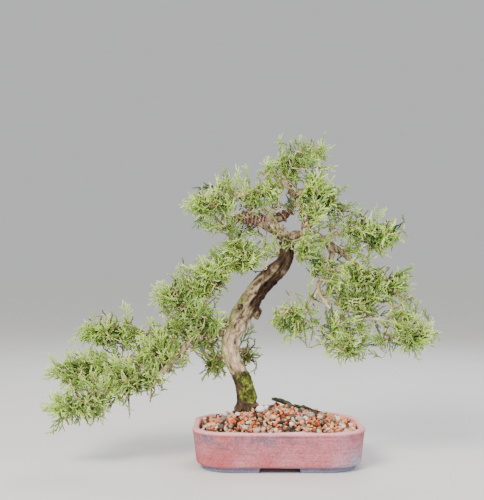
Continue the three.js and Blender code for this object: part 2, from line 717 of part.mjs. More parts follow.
const bonsai = new THREE.Group();
bonsai.add(tray, plant);
const extent = new THREE.Box3().setFromObject(bonsai, true);
const middle = extent.getCenter(new THREE.Vector3());
bonsai.position.set(-middle.x, -middle.y, -extent.min.z);

const scene = new THREE.Group();
scene.add(bonsai);

export default scene;
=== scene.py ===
import math

import bmesh
import bpy
import numpy as np
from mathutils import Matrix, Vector, noise
from mathutils.bvhtree import BVHTree
from mathutils.kdtree import KDTree


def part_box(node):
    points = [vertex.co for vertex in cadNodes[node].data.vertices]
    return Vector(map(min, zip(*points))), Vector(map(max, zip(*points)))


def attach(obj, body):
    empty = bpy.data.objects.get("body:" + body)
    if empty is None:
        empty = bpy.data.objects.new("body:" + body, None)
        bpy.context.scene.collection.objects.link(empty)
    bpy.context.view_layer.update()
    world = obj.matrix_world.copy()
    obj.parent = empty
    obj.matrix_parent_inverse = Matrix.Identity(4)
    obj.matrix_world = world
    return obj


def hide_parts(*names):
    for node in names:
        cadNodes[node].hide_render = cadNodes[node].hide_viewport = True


# A juniper bonsai in a hand-built clay tray, dressed round its CAD frame. Lengths are in metres.
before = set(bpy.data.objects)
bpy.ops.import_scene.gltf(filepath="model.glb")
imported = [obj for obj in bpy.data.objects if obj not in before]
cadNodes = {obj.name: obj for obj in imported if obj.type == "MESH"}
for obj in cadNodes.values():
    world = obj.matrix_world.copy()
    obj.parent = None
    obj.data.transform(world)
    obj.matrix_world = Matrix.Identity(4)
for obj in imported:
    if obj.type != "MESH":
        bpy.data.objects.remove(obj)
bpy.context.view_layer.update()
mm = 0.001


# Mesh helpers

def meshFrom(name, points, faces, smooth=True):
    faces = np.asarray(faces)
    mesh = bpy.data.meshes.new(name)
    mesh.vertices.add(len(points))
    mesh.vertices.foreach_set("co", np.asarray(points, dtype=np.float32).ravel())
    mesh.loops.add(faces.size)
    mesh.loops.foreach_set("vertex_index", faces.astype(np.int32).ravel())
    mesh.polygons.add(len(faces))
    mesh.polygons.foreach_set("loop_start",
                              (np.arange(len(faces)) * faces.shape[1]).astype(np.int32))
    mesh.polygons.foreach_set("use_smooth", np.full(len(faces), smooth))
    mesh.update(calc_edges=True)
    return mesh


def getPoints(mesh):
    points = np.zeros(len(mesh.vertices) * 3)
    mesh.vertices.foreach_get("co", points)
    return points.reshape(-1, 3)


def setPoints(mesh, points):
    mesh.vertices.foreach_set("co", np.asarray(points, dtype=np.float32).ravel())
    mesh.update()


def getNormals(mesh):
    normals = np.zeros(len(mesh.vertices) * 3)
    mesh.vertex_normals.foreach_get("vector", normals)
    return normals.reshape(-1, 3)


def getTriangles(mesh):
    mesh.calc_loop_triangles()
    faces = np.zeros(len(mesh.loop_triangles) * 3, dtype=np.int32)
    mesh.loop_triangles.foreach_get("vertices", faces)
    return faces.reshape(-1, 3)


def setValues(mesh, name, values):
    values = np.asarray(values, dtype=np.float32)
    isVector = values.ndim == 2
    attribute = mesh.attributes.new(name, "FLOAT_VECTOR" if isVector else "FLOAT", "POINT")
    attribute.data.foreach_set("vector" if isVector else "value", values.ravel())


def weldedNode(node):
    # a CAD node's points and triangles, with the points that faces share merged
    welded = bmesh.new()
    welded.from_mesh(cadNodes[node].data)
    bmesh.ops.remove_doubles(welded, verts=welded.verts, dist=0.002 * mm)
    mesh = bpy.data.meshes.new("welded")
    welded.to_mesh(mesh)
    welded.free()
    return mesh


def inflatedNodes(nodes, grow):
    points, faces, count = [], [], 0
    for node in nodes:
        mesh = weldedNode(node)
        points.append(getPoints(mesh) + getNormals(mesh) * grow)
        faces.append(getTriangles(mesh) + count)
        count += len(points[-1])
    return np.concatenate(points), np.concatenate(faces)


def remeshed(name, points, faces, voxel, smoothing):
    piece = bpy.data.objects.new("remeshing", meshFrom("remeshing", points, faces))
    bpy.context.scene.collection.objects.link(piece)
    voxels = piece.modifiers.new("voxels", "REMESH")
    voxels.mode = "VOXEL"
    voxels.voxel_size = voxel
    smooth = piece.modifiers.new("smoothing", "SMOOTH")
    smooth.factor = 0.5
    smooth.iterations = smoothing
    evaluated = piece.evaluated_get(bpy.context.evaluated_depsgraph_get())
    mesh = bpy.data.meshes.new_from_object(evaluated)
    mesh.name = name
    bpy.data.objects.remove(piece)
    mesh.polygons.foreach_set("use_smooth", np.full(len(mesh.polygons), True))
    return mesh


def addPiece(name, mesh, nodes, material):
    piece = bpy.data.objects.new(name, mesh)
    bpy.context.scene.collection.objects.link(piece)
    mesh.materials.clear()
    mesh.materials.append(material)
    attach(piece, "root")
    if nodes:
        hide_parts(*nodes)
    return piece


def unit(vectors):
    vectors = np.asarray(vectors, dtype=float)
    return vectors / np.maximum(np.linalg.norm(vectors, axis=-1, keepdims=True), 1e-12)


def smoothStep(low, high, values):
    t = np.clip((values - low) / (high - low), 0, 1)
    return t * t * (3 - 2 * t)


def noiseAt(points, size, seed=0.0):
    # smooth noise from about -1 to 1, its lumps about one size across
    shift = np.array([17.3, 9.1, 4.7]) * seed
    return np.array([noise.noise(Vector(p)) for p in points / size + shift]) * 1.6


def frameOf(direction, side):
    # three axes: across, up and along direction
    along = unit(direction)
    across = unit(np.cross(side, along))
    return np.stack([across, np.cross(along, across), along])


def tube(path, radii, sides, turn=0.0):
    # an open-ended path swept with a round section, closed by a point at each end
    path = np.asarray(path, dtype=float)
    tangents = unit(np.gradient(path, axis=0))
    side = np.array([0.3, 0.2, 1.0]) if abs(tangents[0][2]) < 0.9 else np.array([1.0, 0.3, 0.1])
    rings = []
    for i, tangent in enumerate(tangents):
        across, up, _ = frameOf(tangent, side)
        side = up
        angles = (np.arange(sides) + turn * i) / sides * 2 * math.pi
        rings.append(path[i] + radii[i]
                     * (np.outer(np.cos(angles), across) + np.outer(np.sin(angles), up)))
    points = np.concatenate([*rings, path[:1], path[-1:] + tangents[-1:] * radii[-1]])
    a = np.arange(sides)
    b = (a + 1) % sides
    faces = []
    for i in range(len(path) - 1):
        low, high = i * sides, (i + 1) * sides
        faces += [np.stack([low + a, low + b, high + b], 1),
                  np.stack([low + a, high + b, high + a], 1)]
    start, end = len(points) - 2, len(points) - 1
    last = (len(path) - 1) * sides
    faces += [np.stack([b, a, np.full(sides, start)], 1),
              np.stack([last + a, last + b, np.full(sides, end)], 1)]
    return points, np.concatenate(faces)


def joinArrays(parts):
    # parts are (points, faces); returns one of each, and the number of points in each part
    counts = [len(points) for points, _ in parts]
    starts = np.concatenate([[0], np.cumsum(counts)[:-1]])
    points = np.concatenate([points for points, _ in parts])
    faces = np.concatenate([faces + start for (_, faces), start in zip(parts, starts)])
    return points, faces, counts


def curveThrough(knots, spacing):
    # a Catmull-Rom curve through the knots, at about even spacing
    knots = np.asarray(knots, dtype=float)
    padded = np.concatenate([[2 * knots[0] - knots[1]], knots, [2 * knots[-1] - knots[-2]]])
    points = []
    for i in range(len(knots) - 1):
        a, b, c, d = padded[i:i + 4]
        steps = max(1, round(float(np.linalg.norm(c - b)) / spacing))
        for t in np.arange(steps) / steps:
            points.append(0.5 * (2 * b + (c - a) * t + (2 * a - 5 * b + 4 * c - d) * t * t
                                 + (3 * b - a - 3 * c + d) * t ** 3))
    points.append(knots[-1])
    return np.array(points)


# Material helpers

def srgb(text):
    values = [int(text[i:i + 2], 16) / 255 for i in (1, 3, 5)]
    linear = [v / 12.92 if v <= 0.04045 else ((v + 0.055) / 1.055) ** 2.4 for v in values]
    return (*linear, 1.0)


def link(tree, node, links):
    for key, (source, output) in links.items():
        tree.links.new(source.outputs[output], node.inputs[key])


def addNode(tree, kind, settings=None, links=None):
    node = tree.nodes.new(kind)
    for key, value in (settings or {}).items():
        if key == "stops":
            elements = node.color_ramp.elements
            elements.remove(elements[1])
            for i, (place, text) in enumerate(value):
                element = elements.new(place) if i else elements[0]
                element.position = place
                element.color = srgb(text)
        elif isinstance(key, int) or key in node.inputs:
            node.inputs[key].default_value = value
        else:
            setattr(node, key, value)
    link(tree, node, links or {})
    return node


def perLump(size):
    # the Scale of a texture whose lumps are one size across
    return 1 / size


def newMaterial(name, settings):
    material = bpy.data.materials.new(name)
    material.use_nodes = True
    tree = material.node_tree
    tree.nodes.clear()
    shader = addNode(tree, "ShaderNodeBsdfPrincipled", settings)
    addNode(tree, "ShaderNodeOutputMaterial", None, {"Surface": (shader, "BSDF")})
    return material, tree, shader


# Stage: camera, floor and light

camera = {
    "left": 50.1 * mm,  # from the tray's middle
    "distance": 1263 * mm,
    "height": 268 * mm,
    "tiltUp": math.radians(1.27),
    "lens": 64.8,
}
light = {
    "sky": "#f4f5f7",
    "skyHigh": 0.85,
    "skyLow": 0.63,  # as bright as the far floor, so that no edge shows between them
    "lamps": [  # place, size, power in watts, colour
        ((-0.9, -1.5, 1.5), 1.0, 64, "#fff9f2"),
        ((1.3, -1.0, 0.9), 1.0, 15, "#eaf0ff"),
        ((0.3, 1.3, 1.4), 1.0, 15, "#f4f7ff"),
    ],
    "aimHeight": 0.22,
}
floor = {
    "radii": (0.05, 1, 5, 25),
    "sides": 96,
    "colours": ("#e4e2de", "#e8e6e2"),
    "mottleScale": 6,
}


def addCamera():
    low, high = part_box("pot")
    middle = (low + high) / 2
    eye = bpy.data.objects.new("camera", bpy.data.cameras.new("camera"))
    eye.data.lens = camera["lens"]
    eye.data.clip_end = 60
    eye.location = (middle.x - camera["left"], middle.y - camera["distance"], camera["height"])
    eye.rotation_euler = (math.pi / 2 + camera["tiltUp"], 0, 0)
    bpy.context.scene.collection.objects.link(eye)
    bpy.context.scene.camera = eye


def addLights():
    for i, (place, size, power, colour) in enumerate(light["lamps"]):
        lamp = bpy.data.lights.new(f"lamp_{i}", "AREA")
        lamp.shape = "DISK"
        lamp.size = size
        lamp.energy = power
        lamp.color = srgb(colour)[:3]
        holder = bpy.data.objects.new(f"lamp_{i}", lamp)
        holder.location = place
        towards = Vector((0, 0, light["aimHeight"])) - holder.location
        holder.rotation_euler = towards.to_track_quat("-Z", "Y").to_euler()
        bpy.context.scene.collection.objects.link(holder)
    world = bpy.data.worlds.new("studio")
    world.use_nodes = True
    tree = world.node_tree
    background = tree.nodes["Background"]
    background.inputs["Color"].default_value = srgb(light["sky"])
    place = addNode(tree, "ShaderNodeTexCoord")
    axes = addNode(tree, "ShaderNodeSeparateXYZ", None, {"Vector": (place, "Generated")})
    strength = addNode(tree, "ShaderNodeMapRange", {
        "From Min": 0.28, "From Max": 0.6, "To Min": light["skyLow"], "To Max": light["skyHigh"]},
        {"Value": (axes, "Z")})
    link(tree, background, {"Strength": (strength, 0)})
    bpy.context.scene.world = world


def addFloor():
    # a wide disc, at the height that the feet stand on
    sides = floor["sides"]
    angles = np.linspace(0, 2 * math.pi, sides + 1)[:-1]
    points = np.concatenate([np.stack([r * np.cos(angles), r * np.sin(angles), angles * 0], 1)
                             for r in floor["radii"]])
    faces = []
    for ring in range(len(floor["radii"]) - 1):
        a = np.arange(sides) + ring * sides
        b = (np.arange(sides) + 1) % sides + ring * sides
        faces.append(np.stack([a, a + sides, b + sides, b], 1))
    board = bpy.data.objects.new("floor", meshFrom("floor", points, np.concatenate(faces)))
    bpy.context.scene.collection.objects.link(board)
    # painted board, matt: a faint mottle keeps it from looking like paper
    material, tree, shader = newMaterial("paintedBoardMatt",
                                         {"Roughness": 0.85, "Specular IOR Level": 0.25})
    place = addNode(tree, "ShaderNodeTexCoord")
    mottle = addNode(tree, "ShaderNodeTexNoise", {"Scale": floor["mottleScale"], "Detail": 3},
                     {"Vector": (place, "Object")})
    stops = [(0.3, floor["colours"][0]), (0.7, floor["colours"][1])]
    ramp = addNode(tree, "ShaderNodeValToRGB", {"stops": stops}, {"Fac": (mottle, "Fac")})
    link(tree, shader, {"Base Color": (ramp, 0)})
    board.data.materials.append(material)


addCamera()
addLights()
addFloor()
print("stage ready")


# Tray: stoneware, hand-built and fired unglazed

tray = {
    "corner": 52 * mm,
    "taper": 4 * mm,
    "wall": 8 * mm,
    "floorThickness": 9 * mm,
    "footHeight": 7 * mm,
    "footInset": 9 * mm,
    "footGapFront": 57 * mm,
    "footGapSide": 50 * mm,
    "footSlope": 4 * mm,
    "lipHeight": 6.4 * mm,
    "groove": 0.9 * mm,
    "drainRadius": 9 * mm,
    "drainSpacing": 104 * mm,
    "stepsAround": 440,
    "unevenness": 0.6 * mm,
}
trayLow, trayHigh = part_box("pot")
trayMiddle = (trayLow + trayHigh) / 2
trayHalf = (trayHigh - trayLow) / 2
rimHeight = trayHigh.z
floorTop = tray["footHeight"] + tray["floorThickness"]


def trayOutline(inset, height, steps=tray["stepsAround"]):
    # the tray's rounded rectangle seen from above, its points at even spacing
    radius = max(tray["corner"] - inset, 2 * mm)
    arcs = []
    for i, (sideX, sideY) in enumerate([(1, 1), (-1, 1), (-1, -1), (1, -1)]):
        angles = np.linspace(i, i + 1, 30) * math.pi / 2
        x = trayMiddle.x + sideX * (trayHalf.x - inset - radius) + radius * np.cos(angles)
        y = trayMiddle.y + sideY * (trayHalf.y - inset - radius) + radius * np.sin(angles)
        arcs.append(np.stack([x, y], 1))
    rough = np.concatenate([*arcs, arcs[0][:1]])
    along = np.concatenate([[0], np.cumsum(np.linalg.norm(np.diff(rough, axis=0), axis=1))])
    even = np.arange(steps) / steps * along[-1]
    return np.stack([np.interp(even, along, rough[:, 0]), np.interp(even, along, rough[:, 1]),
                     np.full(steps, height)], 1)


def loft(rings):
    # a closed skin over rings with the same number of points, its two ends filled by fans
    count = len(rings[0])
    points = np.concatenate([*rings, rings[0].mean(0)[None], rings[-1].mean(0)[None]])
    a = np.arange(count)
    b = (a + 1) % count
    faces = []
    for r in range(len(rings) - 1):
        low, high = r * count, (r + 1) * count
        faces += [np.stack([low + a, low + b, high + b], 1),
                  np.stack([low + a, high + b, high + a], 1)]
    last = (len(rings) - 1) * count
    faces += [np.stack([b, a, np.full(count, len(points) - 2)], 1),
              np.stack([last + a, last + b, np.full(count, len(points) - 1)], 1)]
    return points, np.concatenate(faces)


def carved(mesh, tools, operation):
    # the mesh joined with, or cut by, each tool in turn
    for points, faces in tools:
        piece = bpy.data.objects.new("carving", mesh)
        tool = bpy.data.objects.new("tool", meshFrom("tool", points, faces))
        for obj in (piece, tool):
            bpy.context.scene.collection.objects.link(obj)
        boolean = piece.modifiers.new("boolean", "BOOLEAN")
        boolean.operation = operation
        boolean.object = tool
        evaluated = piece.evaluated_get(bpy.context.evaluated_depsgraph_get())
        mesh = bpy.data.meshes.new_from_object(evaluated)
        for obj in (piece, tool):
            bpy.data.objects.remove(obj)
    return mesh


def trayShell():
    # each pair of its section is how far in from the rim's edge and how high, in mm
    taper, wall, groove = tray["taper"] / mm, tray["wall"] / mm, tray["groove"] / mm
    under, rim, inner = tray["footHeight"] / mm, rimHeight / mm, floorTop / mm
    lipFoot = rim - tray["lipHeight"] / mm
    outside = [(taper + 9, under), (taper + 5.5, under + 0.1), (taper + 3.2, under + 0.7),
               (taper + 1.8, under + 1.9), (taper + 0.9, under + 3.6), (taper + 0.5, under + 6)]
    for share in np.linspace(0.06, 1, 15):
        height = under + 6 + (lipFoot - 2.4 - under - 6) * share
        outside.append((taper + 0.5 + (groove - taper - 0.5) * share, height))
    lip = [(groove + 0.25, lipFoot - 1.5), (groove + 0.35, lipFoot - 0.8), (groove, lipFoot - 0.1),
           (0.7, lipFoot + 0.4), (0.2, lipFoot + 1.2), (0, lipFoot + 2.4), (0, rim - 2.4),
           (0.25, rim - 1.2), (0.9, rim - 0.4), (1.9, rim), (3.5, rim + 0.15), (5.4, rim),
           (6.6, rim - 0.3), (7.4, rim - 1),
           (7.9, rim - 2.2)]
    inside = [(wall + taper * share, rim - 3 + (inner + 7 - rim) * share)
              for share in np.linspace(0.05, 1, 12)]
    cove = [(wall + taper + 5 * (1 - math.cos(a)), inner + 5 * (1 - math.sin(a)))
            for a in np.linspace(0.2, math.pi / 2, 6)]
    profile = outside + lip + inside + cove
    return loft([trayOutline(inset * mm, height * mm) for inset, height in profile])


def trayFeet():
    # a plinth in four parts: the gaps between them run right through, with sloped ends
    inset, tall = tray["taper"] + tray["footInset"], tray["footHeight"]
    heights = [0, 0.4 * mm, 1.2 * mm, 3 * mm, 5 * mm, tall + 2 * mm]
    insets = [inset + 1.6 * mm, inset + 0.7 * mm, inset + 0.2 * mm, inset, inset, inset]
    plinth = meshFrom("feet", *loft([trayOutline(i, z, 300) for i, z in zip(insets, heights)]))
    sixFaces = np.array([[0, 1, 5, 4], [1, 2, 6, 5], [2, 3, 7, 6], [3, 0, 4, 7], [3, 2, 1, 0],
                         [4, 5, 6, 7]])
    gaps = []
    for width, turned in ((tray["footGapFront"], False), (tray["footGapSide"], True)):
        low, high = -1 * mm, tall + 4 * mm
        halfLow, halfHigh, far = width / 2, width / 2 - tray["footSlope"], 0.3
        ends = [[(-halfLow, y, low), (halfLow, y, low), (halfHigh, y, high), (-halfHigh, y, high)]
                for y in (far, -far)]
        points = np.array(ends[0] + ends[1])
        if turned:
            points = points[:, [1, 0, 2]] * [-1, 1, 1]
        points = points + [trayMiddle.x, trayMiddle.y, 0]
        gaps.append((points, sixFaces))
    return carved(plinth, gaps, "DIFFERENCE")


def clayMaterial():
    # stoneware, hand-built and unglazed: matt, pink where the iron shows, with darker grey-lilac
    # patches under the lip, a paler patch low on the right, a painted highlight along the lip and
    # painted shade on the feet
    material, tree, shader = newMaterial("stonewareUnglazed", {"Roughness": 0.86, "IOR": 1.5,
                                                               "Specular IOR Level": 0.28})
    place = addNode(tree, "ShaderNodeTexCoord")
    spot = (place, "Object")
    axes = addNode(tree, "ShaderNodeSeparateXYZ", None, {"Vector": spot})
    broad = addNode(tree, "ShaderNodeTexNoise",
                    {"Scale": perLump(48 * mm), "Detail": 5, "Roughness": 0.62},
                    {"Vector": spot})
    body = addNode(tree, "ShaderNodeValToRGB", {"stops": [
        (0.3, "#b25658"), (0.44, "#ba696f"), (0.56, "#c17983"), (0.7, "#cb8e9b")]},
                   {"Fac": (broad, "Fac")})
    # haze: darker grey-lilac patches on the wall under the lip, strongest on the left
    cloud = addNode(tree, "ShaderNodeTexNoise",
                    {"Scale": perLump(22 * mm), "Detail": 6, "Roughness": 0.66,
                     "Distortion": 0.7}, {"Vector": spot})
    cloudMask = addNode(tree, "ShaderNodeMapRange",
                        {"From Min": 0.4, "From Max": 0.56, "To Max": 1.0},
                        {"Value": (cloud, "Fac")})
    highMask = addNode(tree, "ShaderNodeMapRange", {"From Min": 25 * mm, "From Max": 42 * mm},
                       {"Value": (axes, "Z")})
    lipMask = addNode(tree, "ShaderNodeMapRange",
                      {"From Min": 49.5 * mm, "From Max": 50.5 * mm, "To Min": 1,
                       "To Max": 0.25}, {"Value": (axes, "Z")})
    underLip = addNode(tree, "ShaderNodeMath", {"operation": "MULTIPLY"},
                       {0: (highMask, 0), 1: (lipMask, 0)})
    leftMask = addNode(tree, "ShaderNodeMapRange",
                       {"From Min": trayMiddle.x + 36 * mm, "From Max": trayMiddle.x - 12 * mm,
                        "To Min": 0.3}, {"Value": (axes, "X")})
    leftCloud = addNode(tree, "ShaderNodeMath", {"operation": "MULTIPLY"},
                        {0: (cloudMask, 0), 1: (leftMask, 0)})
    hazeMask = addNode(tree, "ShaderNodeMath", {"operation": "MULTIPLY"},
                       {0: (leftCloud, 0), 1: (underLip, 0)})
    hazed = addNode(tree, "ShaderNodeMix", {"data_type": "RGBA", 7: srgb("#7b6a78")},
                    {0: (hazeMask, 0), 6: (body, 0)})
    # a paler blue-grey patch low on the right-hand end
    rightMask = addNode(tree, "ShaderNodeMapRange",
                        {"From Min": trayHigh.x - 56 * mm, "From Max": trayHigh.x - 22 * mm},
                        {"Value": (axes, "X")})
    lowMask = addNode(tree, "ShaderNodeMapRange", {"From Min": 36 * mm, "From Max": 14 * mm},
                      {"Value": (axes, "Z")})
    cornerMask = addNode(tree, "ShaderNodeMath", {"operation": "MULTIPLY"},
                         {0: (rightMask, 0), 1: (lowMask, 0)})
    patchShare = addNode(tree, "ShaderNodeMapRange",
                     {"From Min": 0.36, "From Max": 0.56, "To Min": 0.2},
                     {"Value": (cloud, "Fac")})
    palePatchMask = addNode(tree, "ShaderNodeMath", {"operation": "MULTIPLY"},
                         {0: (cornerMask, 0), 1: (patchShare, 0)})
    palePatched = addNode(tree, "ShaderNodeMix", {"data_type": "RGBA", 7: srgb("#a9aec0")},
                      {0: (palePatchMask, 0), 6: (hazed, 2)})
    # painted shade: the feet, tucked under the tray's body, are painted a darker blue-grey
    footShadeMask = addNode(tree, "ShaderNodeMapRange",
                       {"From Min": 8.6 * mm, "From Max": 6.2 * mm, "To Max": 0.95},
                       {"Value": (axes, "Z")})
    footShaded = addNode(tree, "ShaderNodeMix", {"data_type": "RGBA", 7: srgb("#838ba5")},
                     {0: (footShadeMask, 0), 6: (palePatched, 2)})
    # painted highlight: the top of the lip is painted paler, where it catches the light
    lipHighlightMask = addNode(tree, "ShaderNodeMapRange",
                      {"From Min": rimHeight - 4.2 * mm, "From Max": rimHeight - 2 * mm,
                       "To Max": 0.78}, {"Value": (axes, "Z")})
    lipHighlighted = addNode(tree, "ShaderNodeMix", {"data_type": "RGBA", 7: srgb("#f8b9ba")},
                     {0: (lipHighlightMask, 0), 6: (footShaded, 2)})
    # wiped streaks run level round the wall
    stretch = addNode(tree, "ShaderNodeMapping", {"Scale": (1 / 34, 1 / 34, 1)}, {"Vector": spot})
    streaks = addNode(tree, "ShaderNodeTexNoise", {"Scale": perLump(1.6 * mm), "Detail": 3},
                      {"Vector": (stretch, 0)})
    streakTone = addNode(tree, "ShaderNodeValToRGB",
                         {"stops": [(0.32, "#a7a09e"), (0.68, "#e2deda")]},
                         {"Fac": (streaks, "Fac")})
    streaked = addNode(tree, "ShaderNodeMix",
                       {"data_type": "RGBA", "blend_type": "OVERLAY", 0: 0.32},
                       {6: (lipHighlighted, 2), 7: (streakTone, 0)})
    # grog: coarse sand in the clay, drawn about three times its size so that it shows
    grog = addNode(tree, "ShaderNodeTexNoise",
                   {"Scale": perLump(2.4 * mm), "Detail": 5, "Roughness": 0.75},
                   {"Vector": spot})
    grogTone = addNode(tree, "ShaderNodeValToRGB",
                       {"stops": [(0.34, "#6a6462"), (0.62, "#dcd8d5")]},
                       {"Fac": (grog, "Fac")})
    grained = addNode(tree, "ShaderNodeMix",
                      {"data_type": "RGBA", "blend_type": "OVERLAY", 0: 0.55},
                      {6: (streaked, 2), 7: (grogTone, 0)})
    streakBump = addNode(tree, "ShaderNodeBump", {"Strength": 0.2, "Distance": 0.5 * mm},
                         {"Height": (streaks, 0)})
    grain = addNode(tree, "ShaderNodeBump", {"Strength": 0.5, "Distance": 0.4 * mm},
                    {"Height": (grog, 0), "Normal": (streakBump, 0)})
    link(tree, shader, {"Base Color": (grained, 2), "Normal": (grain, 0)})
    return material


def drainTools():
    sides = 32
    angles = np.linspace(0, 2 * math.pi, sides + 1)[:-1]
    drains = []
    for side in (-1, 1):
        x = trayMiddle.x + side * tray["drainSpacing"] / 2 + tray["drainRadius"] * np.cos(angles)
        y = trayMiddle.y + tray["drainRadius"] * np.sin(angles)
        rings = [np.stack([x, y, np.full(sides, z)], 1) for z in (-4 * mm, floorTop + 4 * mm)]
        drains.append(loft(rings))
    return drains


def makeTray():
    mesh = meshFrom("tray", *trayShell())
    feet = trayFeet()
    mesh = carved(mesh, [(getPoints(feet), getTriangles(feet))], "UNION")
    mesh = carved(mesh, drainTools(), "DIFFERENCE")
    # pinched and patted by hand: slow waves and small dents, except where the feet stand
    points, normals = getPoints(mesh), getNormals(mesh)
    slow, dents = noiseAt(points, 34 * mm, 1), noiseAt(points, 9 * mm, 2)
    lift = smoothStep(0.5 * mm, 3 * mm, points[:, 2])
    lip = smoothStep(rimHeight - 8 * mm, rimHeight - 5 * mm, points[:, 2])
    amount = tray["unevenness"] * (slow * (0.9 + 0.8 * lip) + dents * (0.22 + 0.35 * lip)) * lift
    setPoints(mesh, points + normals * amount[:, None])
    mesh.polygons.foreach_set("use_smooth", np.full(len(mesh.polygons), True))
    mesh.set_sharp_from_angle(angle=math.radians(50))
    addPiece("clay_tray", mesh, ["pot"], clayMaterial())


makeTray()
print("tray ready")


# Hardware under the soil: plastic drainage mesh, its clips and the tie wire keep their CAD shapes

def hardwareMaterials():
    # polyethylene, moulded: waxy black with a fine pebbled skin
    plastic, tree, shader = newMaterial("polyethyleneMoulded", {"Roughness": 0.5, "IOR": 1.5})
    place = addNode(tree, "ShaderNodeTexCoord")
    pebbled = addNode(tree, "ShaderNodeTexNoise", {"Scale": perLump(1.2 * mm), "Detail": 2},
                      {"Vector": (place, "Object")})
    tone = addNode(tree, "ShaderNodeValToRGB", {"stops": [(0.3, "#17181a"), (0.7, "#26282b")]},
                   {"Fac": (pebbled, 0)})
    bump = addNode(tree, "ShaderNodeBump", {"Strength": 0.3, "Distance": 0.2 * mm},
                   {"Height": (pebbled, 0)})
    link(tree, shader, {"Base Color": (tone, 0), "Normal": (bump, 0)})
    # compost, sieved: dark, crumbly and quite without shine
    compost, tree, shader = newMaterial("compostSieved",
                                        {"Roughness": 0.97, "Specular IOR Level": 0.15})
    place = addNode(tree, "ShaderNodeTexCoord")
    crumbs = addNode(tree, "ShaderNodeTexVoronoi", {"Scale": perLump(3.5 * mm)},
                     {"Vector": (place, "Object")})
    dust = addNode(tree, "ShaderNodeTexNoise", {"Scale": perLump(1.5 * mm), "Detail": 4},
                   {"Vector": (place, "Object")})
    tone = addNode(tree, "ShaderNodeValToRGB",
                   {"stops": [(0.2, "#241a13"), (0.5, "#3b2b1f"), (0.8, "#5f4733")]},
                   {"Fac": (dust, 0)})
    bump = addNode(tree, "ShaderNodeBump", {"Strength": 0.8, "Distance": 1.2 * mm},
                   {"Height": (crumbs, "Distance")})
    link(tree, shader, {"Base Color": (tone, 0), "Normal": (bump, 0)})
    return plastic, compost


def aluminiumMaterial(name, dark, pale, roughness):
    # aluminium, drawn and anodised: soft shine, slightly scuffed where it was bent
    material, tree, shader = newMaterial(name, {"Metallic": 0.85})
    place = addNode(tree, "ShaderNodeTexCoord")
    scuff = addNode(tree, "ShaderNodeTexNoise",
                    {"Scale": perLump(4 * mm), "Detail": 5, "Roughness": 0.7},
                    {"Vector": (place, "Object")})
    tone = addNode(tree, "ShaderNodeValToRGB", {"stops": [(0.35, dark), (0.68, pale)]},
                   {"Fac": (scuff, 0)})
    shine = addNode(tree, "ShaderNodeMapRange",
                    {"To Min": roughness - 0.1, "To Max": roughness + 0.15},
                    {"Value": (scuff, 0)})
    bump = addNode(tree, "ShaderNodeBump", {"Strength": 0.2, "Distance": 0.15 * mm},
                   {"Height": (scuff, 0)})
    link(tree, shader, {"Base Color": (tone, 0), "Roughness": (shine, 0), "Normal": (bump, 0)})
    return material


plasticMaterial, compostMaterial = hardwareMaterials()
paleAluminium = aluminiumMaterial("aluminiumDrawn", "#a39d94", "#cbc5ba", 0.42)
brownAluminium = aluminiumMaterial("aluminiumAnodisedBrown", "#7d5a50", "#b28a7e", 0.4)
for node, material in (("drainage_mesh_left", plasticMaterial),
                       ("drainage_mesh_right", plasticMaterial),
                       ("mesh_clip_left", paleAluminium), ("mesh_clip_right", paleAluminium),
                       ("tie_down_wire", paleAluminium), ("soil", compostMaterial)):
    cadNodes[node].data.materials.clear()
    cadNodes[node].data.materials.append(material)
print("hardware ready")


# Grit: crushed lava, baked clay and small pebbles heaped in a low dome

gritBed = {
    "edgeDrop": 3 * mm,
    "squareness": 2.4,  # of the dome seen from above: 2 is an ellipse
    "steepness": 1.35,
    "rowPitch": 0.87,  # rows of a triangular grid, as a share of the spacing
    "jitter": 0.36,
    "shapes": 18,  # different stones of each kind
    "shadeSheetDrop": 4.2 * mm,  # the dark sheet under the stones: painted shade that shows in the gaps between them
    "bedDepth": 16 * mm,
    "layers": [  # spacing, height over the dome, smallest and largest stone radius
        (6.0 * mm, -3.9 * mm, 2.8 * mm, 4.2 * mm),
        (7.2 * mm, -0.9 * mm, 2.5 * mm, 4.9 * mm),
        (12.0 * mm, 1.0 * mm, 2.6 * mm, 5.2 * mm),
    ],
    "kinds": {  # share of all stones, how angular
        "grit_lava": (0.44, True),
        "grit_baked_clay": (0.35, True),
        "grit_pebbles": (0.21, False),
    },
    "seed": 4,
}
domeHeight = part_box("grit_layer")[1].z - rimHeight + gritBed["edgeDrop"]


def domeAt(x, y):
    a = np.abs(x - trayMiddle.x) / (trayHalf.x - tray["wall"])
    b = np.abs(y - trayMiddle.y) / (trayHalf.y - tray["wall"])
    power = gritBed["squareness"]
    share = np.minimum(1, (a ** power + b ** power) ** (1 / power))
    return rimHeight - gritBed["edgeDrop"] + domeHeight * (1 - share ** gritBed["steepness"])


def roomAt(x, y):
    # how far inside the tray's wall a place is
    corner = tray["corner"] - tray["wall"]
    a = np.abs(x - trayMiddle.x) - (trayHalf.x - tray["wall"] - corner)
    b = np.abs(y - trayMiddle.y) - (trayHalf.y - tray["wall"] - corner)
    outside = np.hypot(np.maximum(a, 0), np.maximum(b, 0)) + np.minimum(np.maximum(a, b), 0)
    return corner - outside


